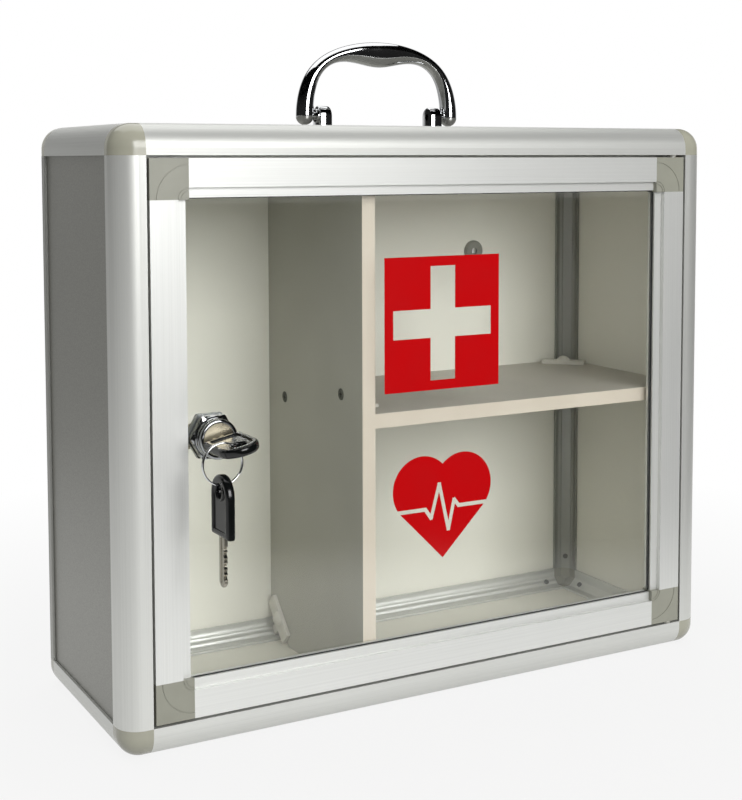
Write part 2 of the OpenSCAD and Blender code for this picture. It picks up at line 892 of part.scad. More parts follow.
// Section of the door frame: s from the outer edge of the door, y from its front face.
module door_section() {
    difference() {
        polygon([
            [0, 0], [face_w, 0], [face_w, step_in], [door_bar, step_in], [door_bar, strip_back],
            [slot_side, strip_back], [slot_side, slot_back], [door_bar, slot_back],
            [door_bar, door_t], [0, door_t]
        ]);
        translate([channel_lo, channel_front])
            square([channel_hi - channel_lo, channel_back - channel_front]);
    }
}

module door_stile() {
    translate([-door_hw, 0, door_z0 + door_corner]) linear_extrude(door_bar_h) door_section();
}

module door_rail() {
    translate([0, 0, door_z0]) lay_along_x(door_bar_w) linear_extrude(door_bar_w) door_section();
}

module door_stile_left() {
    color("WhiteSmoke") place() door_stile();
}

module door_stile_right() {
    color("WhiteSmoke") place() flip_x() door_stile();
}

module door_rail_bottom() {
    color("WhiteSmoke") place() door_rail();
}

module door_rail_top() {
    color("WhiteSmoke") place() flip_top() door_rail();
}

// Groove of an engraved arc round the inner corner of a door corner piece.
module arc_groove(r) {
    translate([door_corner, -1, door_corner]) rotate([-90, 0, 0]) difference() {
        cylinder(r = r + arc_w / 2, h = arc_deep + 1);
        translate([0, 0, -1]) cylinder(r = r - arc_w / 2, h = arc_deep + 3);
    }
}

// Leg of a door corner piece along z.
module door_corner_leg() {
    translate([channel_lo + leg_gap, channel_front + leg_gap, door_corner - 2])
        cube([channel_hi - channel_lo - 2 * leg_gap, channel_back - channel_front - 2 * leg_gap, door_leg + 2]);
}

// Bottom left corner piece of the door, its outer corner at the origin.
module door_corner_piece() {
    union() {
        difference() {
            cube([door_corner, door_t, door_corner]);
            translate([slot_side, strip_back, slot_side])
                cube([door_corner, slot_back - strip_back, door_corner]);
            arc_groove(arc_r);
            arc_groove(arc_small_r);
            arc_groove(arc_small_r - 1.6);
        }
        door_corner_leg();
        mirror([1, 0, -1]) door_corner_leg();
    }
}

module left_door_corner() {
    translate([-door_hw, 0, door_z0]) door_corner_piece();
}

// Right corner piece with the bore for a hinge pin.
module right_door_corner() {
    difference() {
        flip_x() left_door_corner();
        translate([hinge_x, pin_y, door_z0 - 1]) cylinder(r = pin_r, h = pin_deep + 1);
    }
}

module door_corner_bottom_left() {
    color("Tan") place() left_door_corner();
}

module door_corner_top_left() {
    color("Tan") place() flip_top() left_door_corner();
}

module door_corner_bottom_right() {
    color("Tan") place() right_door_corner();
}

module door_corner_top_right() {
    color("Tan") place() flip_top() right_door_corner();
}

// Turns a shape that lies in the x, z plane of the door, drawn flat, to stand at distance y.
module stand(y, t) {
    translate([0, y + t, 0]) rotate([90, 0, 0]) linear_extrude(t) children();
}

// Rectangle of the door, in from its outer edge.
module door_rect(in) {
    translate([-door_hw + in, door_z0 + in]) square([2 * (door_hw - in), door_z1 - door_z0 - 2 * in]);
}

module door_glass() {
    color("LightCyan", 0.35) place() difference() {
        stand(glass_y, glass_t) door_rect(glass_edge);
        translate([lock_x, 0, lock_z]) rotate([-90, 0, 0]) cylinder(r = barrel_r + glass_hole_gap, h = door_t);
    }
}

module glazing_seal() {
    color("Black") place() stand(strip_back, seal_t) difference() {
        door_rect(glass_edge);
        door_rect(door_bar + seal_show);
    }
}

// ---- stickers ----

module cross_sticker() {
    color("Red") place() stand(glass_y - film, film) translate([sticker_x, square_z]) difference() {
        square(square_side, center = true);
        square([cross_w, cross_len], center = true);
        square([cross_len, cross_w], center = true);
    }
}

// Line of the given width between two points.
module stroke(a, b) {
    d = b - a;
    translate(a) rotate(atan2(d[1], d[0])) translate([-pulse_w / 3, -pulse_w / 2])
        square([norm(d) + pulse_w * 2 / 3, pulse_w]);
}

// Pulse line across the heart: level, a small dip, a tall peak, a deep dip, and level again.
module pulse_line() {
    h = heart_side;
    p = [
        [-h, 0], [-0.3 * h, 0], [-0.2 * h, -0.14 * h], [-0.06 * h, 0.36 * h],
        [0.1 * h, -0.34 * h], [0.2 * h, 0.1 * h], [0.28 * h, 0], [h, 0]
    ];
    for (i = [0 : len(p) - 2]) stroke(p[i], p[i + 1]);
}

module heart_sticker() {
    color("Crimson") place() stand(glass_y - film, film) translate([sticker_x, heart_z]) difference() {
        translate([0, -heart_side * 0.05]) rotate(45) {
            square(heart_side, center = true);
            translate([0, heart_side / 2]) circle(r = heart_side / 2);
            translate([heart_side / 2, 0]) circle(r = heart_side / 2);
        }
        pulse_line();
    }
}

// ---- lock ----

// Puts a shape drawn along +z from z = 0 on the lock axis, from distance y of the front face back.
module on_lock(y) {
    translate([lock_x, y, lock_z]) rotate([-90, 0, 0]) children();
}

module lock_barrel() {
    color("Silver") place() difference() {
        union() {
            on_lock(bezel_y) cylinder(r = bezel_r, h = glass_y - collar_t - bezel_y);
            on_lock(glass_y - collar_t) cylinder(r = collar_r, h = collar_t, $fn = 6);
            on_lock(glass_y) cylinder(r = barrel_r, h = barrel_end - glass_y);
        }
        on_lock(bezel_y - 1) cylinder(r = plug_face_r + run, h = plug_back + plug_head_t + 1);
        on_lock(bezel_y) cylinder(r = plug_r + run, h = barrel_end - bezel_y + 1);
    }
}

module lock_nut() {
    color("DimGray") place() on_lock(glass_back) difference() {
        cylinder(r = nut_r, h = nut_t, $fn = 6);
        translate([0, 0, -1]) cylinder(r = barrel_r, h = nut_t + 2);
    }
}

// Turns what hangs on the plug to its rest position.
module rest_on_lock() {
    translate([lock_x, 0, lock_z]) rotate([0, -rest_turn, 0]) children();
}

module lock_plug() {
    keyway_w = blade_w + 2 * key_gap;
    keyway_h = blade_t + 2 * key_gap;
    color("Khaki") place() rest_on_lock() difference() {
        union() {
            translate([0, plug_y, 0]) rotate([-90, 0, 0]) cylinder(r = plug_face_r, h = plug_head_t);
            translate([0, plug_y, 0]) rotate([-90, 0, 0]) cylinder(r = plug_r, h = barrel_end - plug_y + 0.9);
            translate([-cam_square / 2, barrel_end, -cam_square / 2])
                cube([cam_square, cam_y + cam_t - barrel_end, cam_square]);
            translate([0, cam_y + cam_t, 0]) rotate([-90, 0, 0]) cylinder(r = cam_square * 0.66, h = 1.2);
        }
        translate([-keyway_w / 2, plug_y - 1, -keyway_h / 2]) cube([keyway_w, keyway_end - plug_y + 1, keyway_h]);
    }
}

module lock_cam() {
    reach = cam_len - cam_tip_r;
    color("Goldenrod") place() rest_on_lock() difference() {
        translate([0, cam_y + cam_t, 0]) rotate([90, 0, 0]) linear_extrude(cam_t) {
            circle(r = cam_r);
            translate([-reach, -cam_tip_r]) square([reach, 2 * cam_tip_r]);
            translate([-reach, 0]) circle(r = cam_tip_r);
        }
        translate([-cam_square / 2, cam_y - 1, -cam_square / 2]) cube([cam_square, cam_t + 2, cam_square]);
    }
}

// ---- keys ----

// Outline of a bow: its shoulder at y = 0 and its round end at y = -bow_len.
module bow_outline() {
    translate([-bow_w / 2, -(bow_len - bow_w / 2)]) square([bow_w, bow_len - bow_w / 2]);
    translate([0, -(bow_len - bow_w / 2)]) circle(r = bow_w / 2);
}

// Plastic bow that lies flat, with its hole, shallow pockets and the slot for the blade.
module bow() {
    hole_at = -bow_len + bow_hole_in;
    difference() {
        translate([0, 0, -bow_t / 2]) linear_extrude(bow_t) bow_outline();
        translate([0, hole_at, -bow_t]) cylinder(r = bow_hole_r, h = 2 * bow_t);
        for (s = [-1, 1]) translate([0, 0, s * bow_t / 2]) {
            translate([-bow_w * 0.28, hole_at + bow_hole_r + 2, -pocket]) cube([bow_w * 0.56, 4, 2 * pocket]);
            translate([-bow_w * 0.28, hole_at + bow_hole_r + 8, -pocket]) cube([bow_w * 0.56, 6, 2 * pocket]);
        }
        translate([-blade_w / 2, -blade_root, -blade_t / 2]) cube([blade_w, blade_root + 1, blade_t]);
    }
}

// Blade with its root at y = -blade_root and its tip at y = blade_len.
module blade() {
    tip = blade_w / 3;
    difference() {
        translate([0, 0, -blade_t / 2]) linear_extrude(blade_t) polygon([
            [-blade_w / 2, -blade_root], [blade_w / 2, -blade_root], [blade_w / 2, blade_len - tip],
            [blade_w / 2 - tip, blade_len], [-blade_w / 2 + tip, blade_len], [-blade_w / 2, blade_len - tip]
        ]);
        for (i = [0 : floor((blade_len - tip - 6) / bit_step)])
            translate([blade_w / 2, 5 + i * bit_step, -blade_t]) linear_extrude(2 * blade_t)
                polygon([[0.1, -bit_deep], [-bit_deep, -0.3], [-bit_deep, 0.3], [0.1, bit_deep]]);
        for (s = [-1, 1]) translate([-blade_w * 0.2, 1, s * blade_t / 2 - groove_deep])
            cube([1.3, blade_len - tip - 1, 2 * groove_deep]);
    }
}

module key_bow() {
    color("Black") place() rest_on_lock() translate([0, bow_y, 0]) bow();
}

module key_blade() {
    color("Silver") place() rest_on_lock() translate([0, bow_y, 0]) blade();
}

module key_ring() {
    color("Silver") place() translate([ring_x, hole_y, ring_z]) rotate([90, 0, 0]) rotate_extrude($fn = 128)
        for (s = [-1, 1]) translate([ring_r, s * coil_step / 2]) circle(r = wire_r, $fn = 32);
}

// Turns a key that lies flat to hang on the ring, with its cuts to the front.
module hang() {
    translate([ring_x, hole_y, spare_top_z - bow_len]) rotate([-90, 0, -90]) children();
}

module spare_bow() {
    color("Black") place() hang() bow();
}

module spare_blade() {
    color("Silver") place() hang() blade();
}

// ---- handle ----

// Bracket with a round top and the bore for a pivot pin. It stands right of the middle.
module handle_bracket() {
    difference() {
        translate([ear_in, handle_y, 0]) {
            translate([0, -ear_d / 2, top_face]) cube([ear_w, ear_d, pivot_up]);
            translate([0, 0, pivot_z]) rotate([0, 90, 0]) cylinder(r = ear_d / 2, h = ear_w);
        }
        translate([ear_in - 1, handle_y, pivot_z]) rotate([0, 90, 0]) cylinder(r = pivot_r + run, h = ear_w + 2);
    }
}

module handle_bracket_right() {
    color("Silver") place() handle_bracket();
}

module handle_bracket_left() {
    color("Silver") place() flip_x() handle_bracket();
}

arch_steps = 40;
arch_sides = 20;
// Half thickness outwards, half thickness inwards and half width of the handle at angle t.
function swell(t) = pow(sin(t), 6);
function out_half(t) = neck + (foot_r - neck) * pow(cos(t), 4) * 0.93 + grip_more * swell(t);
function in_half(t) = out_half(t) + grip_under * pow(sin(t), 14);
function side_at(t) = side_half + (foot_r - side_half) * pow(cos(t), 4) * 0.93 + grip_side * swell(t);
// Point a of the ring of points round the handle at angle t, in the axes of the handle.
function arch_point(t, a) =
    let (
        along = [-foot_x * (cos(t) - arch_square * cos(3 * t)), arch_h * (sin(t) + arch_square * sin(3 * t))]
            / (1 - arch_square),
        slope = [foot_x * (sin(t) - 3 * arch_square * sin(3 * t)), arch_h * (cos(t) + 3 * arch_square * cos(3 * t))],
        normal = [-slope[1], slope[0]] / norm(slope),
        r = cos(a) > 0 ? out_half(t) * cos(a) : in_half(t) * cos(a)
    )
    [along[0] + normal[0] * r, side_at(t) * sin(a), along[1] + normal[1] * r];

// Arch of the handle from foot to foot.
module arch() {
    rings = [for (i = [0 : arch_steps], j = [0 : arch_sides - 1])
        arch_point(180 * i / arch_steps, 360 * j / arch_sides)];
    walls = [for (i = [0 : arch_steps - 1], j = [0 : arch_sides - 1])
        let (k = (j + 1) % arch_sides, a = i * arch_sides)
        [a + j, a + k, a + arch_sides + k, a + arch_sides + j]];
    first = [for (j = [arch_sides - 1 : -1 : 0]) j];
    last = [for (j = [0 : arch_sides - 1]) arch_steps * arch_sides + j];
    polyhedron(points = rings, faces = concat(walls, [first], [last]), convexity = 4);
}

module handle_bail() {
    color("Silver") place() translate([0, handle_y, pivot_z]) {
        arch();
        for (s = [-1, 1]) {
            translate([s * foot_x, 0, 0]) sphere(r = foot_r);
            translate([s < 0 ? -foot_x : ear_in, 0, 0]) rotate([0, 90, 0])
                cylinder(r = pivot_r, h = foot_x - ear_in);
        }
    }
}

// ---- what is drawn ----

front_post_left();
front_post_right();
front_rail_top();
front_rail_bottom();
rear_post_left();
rear_post_right();
rear_rail_top();
rear_rail_bottom();
side_rail_top_left();
side_rail_top_right();
side_rail_bottom_left();
side_rail_bottom_right();
corner_front_top_left();
corner_front_top_right();
corner_front_bottom_left();
corner_front_bottom_right();
corner_rear_top_left();
corner_rear_top_right();
corner_rear_bottom_left();
corner_rear_bottom_right();
side_panel_left();
side_panel_right();
top_panel();
floor_panel();
back_panel();
divider();
shelf();
corner_clips();
shelf_bracket();
small_screws();
wall_washers();
keeper_plate();
hinge_bushes();
door_bumpers();
handle_bracket_left();
handle_bracket_right();
door_stile_left();
door_stile_right();
door_rail_top();
door_rail_bottom();
door_corner_top_left();
door_corner_top_right();
door_corner_bottom_left();
door_corner_bottom_right();
door_glass();
glazing_seal();
cross_sticker();
heart_sticker();
hinge_pins();
lock_barrel();
lock_nut();
handle_bail();
lock_plug();
lock_cam();
key_bow();
key_blade();
key_ring();
spare_bow();
spare_blade();
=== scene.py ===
"""Looks for a lockable wall cabinet: anodised extrusions, laminate panels, a glass door, a lock, keys.

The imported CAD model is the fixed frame. Nodes whose shape is right keep their mesh and get a finish
here. The handle, its brackets, the lock's barrel, the ring and the keys are built again with their
fine shapes.
"""

import json
import logging
import math
from collections.abc import Callable, Iterable, Sequence
from dataclasses import dataclass, field
from enum import Enum
from typing import Any

import bmesh
import bpy
from mathutils import Matrix, Vector

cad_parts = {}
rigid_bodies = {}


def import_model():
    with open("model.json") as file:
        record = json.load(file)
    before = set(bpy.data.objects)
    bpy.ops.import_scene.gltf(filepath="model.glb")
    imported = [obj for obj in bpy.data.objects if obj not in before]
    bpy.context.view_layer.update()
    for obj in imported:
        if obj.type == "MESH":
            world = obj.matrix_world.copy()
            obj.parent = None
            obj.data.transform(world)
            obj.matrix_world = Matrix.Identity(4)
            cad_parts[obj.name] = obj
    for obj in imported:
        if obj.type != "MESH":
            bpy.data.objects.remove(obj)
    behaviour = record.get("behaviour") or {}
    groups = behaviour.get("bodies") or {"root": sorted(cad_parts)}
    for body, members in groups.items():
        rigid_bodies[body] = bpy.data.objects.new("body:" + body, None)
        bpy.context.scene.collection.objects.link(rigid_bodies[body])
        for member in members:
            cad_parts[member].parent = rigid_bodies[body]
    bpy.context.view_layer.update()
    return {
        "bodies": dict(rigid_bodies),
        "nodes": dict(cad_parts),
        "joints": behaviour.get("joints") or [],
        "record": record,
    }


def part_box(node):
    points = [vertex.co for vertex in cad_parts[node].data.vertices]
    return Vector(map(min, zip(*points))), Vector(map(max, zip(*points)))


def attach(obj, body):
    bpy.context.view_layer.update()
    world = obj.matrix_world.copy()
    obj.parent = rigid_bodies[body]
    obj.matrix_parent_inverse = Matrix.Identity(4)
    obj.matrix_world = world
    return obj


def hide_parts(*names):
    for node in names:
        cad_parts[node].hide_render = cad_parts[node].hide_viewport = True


LOG = logging.getLogger("cabinet")
MM = 0.001
# Most of a noise lies between these two values.
NOISE_BAND = (0.3, 0.7)


# ---------------------------------------------------------------- small helpers


def linear(code: str) -> tuple[float, float, float, float]:
    """Turns an sRGB hex colour into linear values for a shader.

    Args:
        code: Colour such as "#c8c9c5".

    Returns:
        Linear red, green and blue, and an alpha of 1.
    """
    parts = [int(code[i : i + 2], 16) / 255 for i in (1, 3, 5)]
    red, green, blue = (p / 12.92 if p <= 0.04045 else ((p + 0.055) / 1.055) ** 2.4 for p in parts)
    return red, green, blue, 1.0


def add(tree: bpy.types.NodeTree, kind: str, inputs: dict[Any, Any] | None = None, **settings: Any) -> Any:
    """Adds one shader node with its settings, values and links.

    Args:
        tree: Node tree that gets the node.
        kind: Type of the node, such as "ShaderNodeMix".
        inputs: Input name or number to a value, or to the socket that feeds it.
        **settings: Attributes of the node.

    Returns:
        The new node.
    """
    made = tree.nodes.new(kind)
    for key, value in settings.items():
        setattr(made, key, value)
    for key, value in (inputs or {}).items():
        if isinstance(value, bpy.types.NodeSocket):
            tree.links.new(value, made.inputs[key])
        else:
            made.inputs[key].default_value = value
    return made


def mix(tree: bpy.types.NodeTree, factor: Any, first: Any, second: Any) -> Any:
    """Mixes two colours and returns the result's socket."""
    made = add(tree, "ShaderNodeMix", {0: factor, 6: first, 7: second}, data_type="RGBA")
    return made.outputs[2]


def remap(tree: bpy.types.NodeTree, value: Any, low: float, high: float, start: float, end: float) -> Any:
    """Maps a value from one range to another, held at the ends.

    Args:
        tree: Node tree that gets the node.
        value: Socket that is read.
        low: Result at the start of the range.
        high: Result at its end.
        start: Value at which the range starts.
        end: Value at which it ends.

    Returns:
        The result's socket.
    """
    ends = {"Value": value, "From Min": start, "From Max": end, "To Min": low, "To Max": high}
    return add(tree, "ShaderNodeMapRange", ends).outputs[0]


def calc(tree: bpy.types.NodeTree, operation: str, *values: Any) -> Any:
    """Does one step of arithmetic and returns its socket."""
    return add(tree, "ShaderNodeMath", dict(enumerate(values)), operation=operation).outputs[0]


def along(tree: bpy.types.NodeTree, first: Any, second: Any) -> Any:
    """Returns the socket of how far one vector reaches along another."""
    inputs = {0: first, 1: second}
    return add(tree, "ShaderNodeVectorMath", inputs, operation="DOT_PRODUCT").outputs["Value"]


def circle(sides: int, shift: float = 0.0) -> list[float]:
    """Angles of evenly spaced points round a circle, with a shift given in steps."""
    return [2 * math.pi * (i + shift) / sides for i in range(sides)]


def smooth(points: Sequence[float], value: float) -> float:
    """Smooth step between two ends.

    Args:
        points: Where the step starts and ends.
        value: Where it is read.

    Returns:
        A value from 0 to 1.
    """
    share = min(1.0, max(0.0, (value - points[0]) / (points[1] - points[0])))
    return share * share * (3 - 2 * share)


def solid(name: str, build: Callable[[bmesh.types.BMesh], None], angle: float = 35.0) -> bpy.types.Object:
    """Makes a mesh object from a function that fills a bmesh in metres.

    Args:
        name: Name of the new object.
        build: Function that fills the mesh.
        angle: Edges sharper than this angle in degrees stay sharp.

    Returns:
        The object, linked to the scene.
    """
    mesh = bpy.data.meshes.new(name)
    form = bmesh.new()
    build(form)
    bmesh.ops.recalc_face_normals(form, faces=form.faces)
    form.to_mesh(mesh)
    form.free()
    mesh.shade_smooth()
    mesh.set_sharp_from_angle(angle=math.radians(angle))
    made = bpy.data.objects.new(name, mesh)
    bpy.context.scene.collection.objects.link(made)
    return made


def skin(form: bmesh.types.BMesh, loops: Sequence[Sequence[Vector]], closed: bool = False) -> None:
    """Skins a row of loops that have the same number of points.

    Args:
        form: Mesh that gets the faces.
        loops: Loops of points, in order along the piece.
        closed: Whether the last loop joins the first. Where it doesn't, each end gets a face.
    """
    rows = [[form.verts.new(p) for p in loop] for loop in loops]
    pairs = list(zip(rows, rows[1:])) + ([(rows[-1], rows[0])] if closed else [])
    count = len(rows[0])
    for one, two in pairs:
        for i in range(count):
            k = (i + 1) % count
            form.faces.new((one[i], one[k], two[k], two[i]))
    if not closed:
        form.faces.new(list(reversed(rows[0])))
        form.faces.new(rows[-1])


def ring(radius: float, distance: float, sides: int) -> list[Vector]:
    """Circle of points round the Y axis at a distance along it."""
    return [Vector((radius * math.cos(a), distance, radius * math.sin(a))) for a in circle(sides)]


def rounded(profile: Sequence[tuple[float, float, float]], steps: int = 5) -> list[tuple[float, float]]:
    """Rounds the corners of a closed outline.

    Args:
        profile: Radius, distance along, and the fillet of each corner, in mm.
        steps: Number of points on each fillet.

    Returns:
        The outline with its fillets, as radius and distance along.
    """
    made: list[tuple[float, float]] = []
    for i, (r, y, fillet) in enumerate(profile):
        here = Vector((r, y))
        if fillet <= 0:
            made.append((r, y))
            continue
        before = Vector(profile[i - 1][:2])
        after = Vector(profile[(i + 1) % len(profile)][:2])
        one = here + (before - here).normalized() * fillet
        two = here + (after - here).normalized() * fillet
        for k in range(steps + 1):
            t = k / steps
            point = one * (1 - t) ** 2 + here * 2 * t * (1 - t) + two * t * t
            made.append((point.x, point.y))
    return made


def place(piece: bpy.types.Object, matrix: Matrix) -> bpy.types.Object:
    """Moves the mesh of a piece, whose object stays at the origin."""
    piece.data.transform(matrix)
    piece.data.update()
    return piece


# ---------------------------------------------------------------- finishes


class Axis(Enum):
    """Direction along which a surface is drawn, or in which a board is flat."""

    X = 0
    Y = 1
    Z = 2

    def stretch(self, across: float, lengthwise: float) -> tuple[float, float, float]:
        """Gives X, Y and Z a value each, such as the sizes of a pattern that is long along this axis.

        Args:
            across: Value of the two axes across this one.
            lengthwise: Value of this axis.

        Returns:
            The values of X, Y and Z.
        """
        values = [across, across, across]
        values[self.value] = lengthwise
        return values[0], values[1], values[2]


@dataclass(frozen=True)
class Finish:
    """What every finish has: a name and a way to make its material."""

    name: str

    def surface(self, tree: bpy.types.NodeTree) -> Any:
        """Builds the shader in the tree and returns its output socket."""
        raise NotImplementedError

    def material(self) -> bpy.types.Material:
        """Makes the material, or finds it if it is made already.

        Returns:
            The material of this finish.
        """
        if self.name in bpy.data.materials:
            return bpy.data.materials[self.name]
        made = bpy.data.materials.new(self.name)
        made.use_nodes = True
        made.node_tree.nodes.clear()
        out = self.surface(made.node_tree)
        add(made.node_tree, "ShaderNodeOutputMaterial", {"Surface": out})
        return made

    def noise(self, tree: bpy.types.NodeTree, cells_mm: tuple[float, float, float], detail: float) -> Any:
        """Adds a noise that is fixed to the object.

        Args:
            tree: Node tree that gets the nodes.
            cells_mm: Size of one cell of the noise along X, Y and Z, in mm.
            detail: How many finer layers it has.

        Returns:
            The socket of the noise, which runs from 0 to 1.
        """
        where = add(tree, "ShaderNodeTexCoord").outputs["Object"]
        scale = tuple(1 / (size * MM) for size in cells_mm)
        spot = add(tree, "ShaderNodeMapping", {"Vector": where, "Scale": scale}).outputs[0]
        return add(tree, "ShaderNodeTexNoise", {"Vector": spot, "Scale": 1.0, "Detail": detail}).outputs[0]

    def even_noise(self, tree: bpy.types.NodeTree, cell_mm: float, detail: float = 3.0) -> Any:
        """Adds a noise whose cells have the same size in mm every way."""
        return self.noise(tree, (cell_mm, cell_mm, cell_mm), detail)

    def two_tone(
        self,
        tree: bpy.types.NodeTree,
        noise: Any,
        share: float,
        first: Any,
        second: Any,
        band: tuple[float, float] = NOISE_BAND,
    ) -> Any:
        """Breaks up one colour with another by a noise.

        Args:
            tree: Node tree that gets the nodes.
            noise: Socket of the noise.
            share: Most that the second colour takes.
            first: Hex colour, linear colour, or the socket of one.
            second: The same for the second colour.
            band: Values of the noise between which the second colour comes in.

        Returns:
            The socket of the mixed colour.
        """
        one, two = (linear(tone) if isinstance(tone, str) else tone for tone in (first, second))
        return mix(tree, remap(tree, noise, 0, share, *band), one, two)

    def bump(self, tree: bpy.types.NodeTree, height: Any, strength: float, deep_mm: float) -> Any:
        """Turns a height into a surface normal, with the depth of the relief in mm."""
        inputs = {"Height": height, "Strength": strength, "Distance": deep_mm * MM}
        return add(tree, "ShaderNodeBump", inputs).outputs[0]


@dataclass(frozen=True)
class AnodisedAluminium(Finish):
    """Extruded aluminium, etched and clear anodised: a silky grey with faint lines along the bar."""

    colour: str = "#dcddd9"
    shade: str = "#b6b7b3"
    grain: Axis = Axis.Z
    # The film on the metal scatters part of the light, so that the bar is duller than bare metal.
    metallic: float = 0.65
    rough: float = 0.46
    # Die lines are about 0.2 mm apart. They are drawn 0.7 mm apart, so that they show.
    line_mm: float = 0.7
    line_length_mm: float = 167.0
    cloud_mm: float = 111.0
    # Distance between the ridges along the bar, or 0 where it has none.
    ridge_mm: float = 0.0
    ridge_deep_mm: float = 0.35

    def ridges(self, tree: bpy.types.NodeTree, finer: Any) -> Any:
        """Adds the ridges along the bar to the relief of its fine lines.

        Args:
            tree: Node tree that gets the nodes.
            finer: Socket of the normal that has the fine lines.

        Returns:
            The socket of the normal that has both.
        """
        where = add(tree, "ShaderNodeTexCoord").outputs["Object"]
        # The phase grows along both axes across the bar, so that each of its faces shows the ridges.
        phase = along(tree, where, self.grain.stretch(2 * math.pi / (self.ridge_mm * MM), 0))
        inputs = {
            "Height": calc(tree, "SINE", phase),
            "Strength": 0.8,
            "Distance": self.ridge_deep_mm * MM,
            "Normal": finer,
        }
        return add(tree, "ShaderNodeBump", inputs).outputs[0]

    def surface(self, tree: bpy.types.NodeTree) -> Any:
        """Builds the shader: a rough metal with long fine streaks.

        Args:
            tree: Node tree that gets the nodes.

        Returns:
            The shader's socket.
        """
        streak = self.noise(tree, self.grain.stretch(self.line_mm, self.line_length_mm), 2)
        cloud = self.even_noise(tree, self.cloud_mm, 2)
        clouded = self.two_tone(tree, cloud, 0.1, self.colour, self.shade)
        relief = self.bump(tree, streak, 0.12, 0.02)
        if self.ridge_mm > 0:
            relief = self.ridges(tree, relief)
        inputs = {
            "Base Color": self.two_tone(tree, streak, 0.12, clouded, self.shade, (0.35, 0.7)),
            "Metallic": self.metallic,
            "Roughness": remap(tree, streak, self.rough - 0.04, self.rough + 0.05, *NOISE_BAND),
            "Normal": relief,
        }
        return add(tree, "ShaderNodeBsdfPrincipled", inputs).outputs[0]


@dataclass(frozen=True)
class MouldedAbs(Finish):
    """Injection moulded ABS: an even colour with a low sheen and a very fine orange peel."""

    colour: str = "#8f8e7e"
    shade: float = 0.86
    rough: float = 0.25
    peel: float = 0.08
    peel_mm: float = 0.714
    cloud_mm: float = 16.7
    coat: float = 0.0
    ior: float = 1.54

    def surface(self, tree: bpy.types.NodeTree) -> Any:
        """Builds the shader: plastic with a faint cloud in its colour.

        Args:
            tree: Node tree that gets the nodes.

        Returns:
            The shader's socket.
        """
        cloud = self.even_noise(tree, self.cloud_mm)
        peel = self.even_noise(tree, self.peel_mm, 2)
        dark = tuple(c * self.shade for c in linear(self.colour)[:3]) + (1.0,)
        inputs = {
            "Base Color": self.two_tone(tree, cloud, 0.6, self.colour, dark),
            "Roughness": remap(tree, cloud, self.rough - 0.04, self.rough + 0.06, *NOISE_BAND),
            "IOR": self.ior,
            "Coat Weight": self.coat,
            "Coat Roughness": 0.08,
            "Normal": self.bump(tree, peel, self.peel, 0.05),
        }
        return add(tree, "ShaderNodeBsdfPrincipled", inputs).outputs[0]


@dataclass(frozen=True)
class LaminatePanel(Finish):
    """Thin fibreboard with a pressed film: silver-grey fleck outside, plain off-white inside."""

    outer: str = "#8b8b84"
    fleck_dark: str = "#787872"
    fleck_pale: str = "#a1a09a"
    fleck_share: float = 0.45
    # The fleck of the silver film is about 0.3 mm. It is drawn at 0.8 mm, so that it shows.
    fleck_mm: float = 0.8
    outer_metallic: float = 0.4
    outer_rough: float = 0.36
    inner: str = "#f3f1e7"
    inner_shade: str = "#ebe9de"
    inner_rough: float = 0.5
    cloud_mm: float = 71.4
    # Middle of the casing in the row frame, in metres.
    middle: tuple[float, float, float] = (0.0, 0.02135, 0.17)

    def surface(self, tree: bpy.types.NodeTree) -> Any:
        """Builds the shader: the side of each face from the middle of the cabinet picks its film.

        Args:
            tree: Node tree that gets the nodes.

        Returns:
            The shader's socket.
        """
        where = add(tree, "ShaderNodeTexCoord")
        inputs = {0: where.outputs["Object"], 1: self.middle}
        away = add(tree, "ShaderNodeVectorMath", inputs, operation="SUBTRACT").outputs[0]
        outside = calc(tree, "GREATER_THAN", along(tree, away, where.outputs["Normal"]), 0.0)
        fleck = self.even_noise(tree, self.fleck_mm, 2)
        cloud = self.even_noise(tree, self.cloud_mm)
        film = self.two_tone(tree, fleck, 1, self.fleck_dark, self.fleck_pale, (0.35, 0.68))
        outer = mix(tree, self.fleck_share, linear(self.outer), film)
        inner = self.two_tone(tree, cloud, 0.5, self.inner, self.inner_shade)
        rough = {0: outside, 2: self.inner_rough, 3: self.outer_rough}
        inputs = {
            "Base Color": mix(tree, outside, inner, outer),
            "Metallic": calc(tree, "MULTIPLY", outside, self.outer_metallic),
            "Roughness": add(tree, "ShaderNodeMix", rough).outputs[0],
            "Normal": self.bump(tree, calc(tree, "MULTIPLY", fleck, outside), 0.1, 0.05),
        }
        return add(tree, "ShaderNodeBsdfPrincipled", inputs).outputs[0]


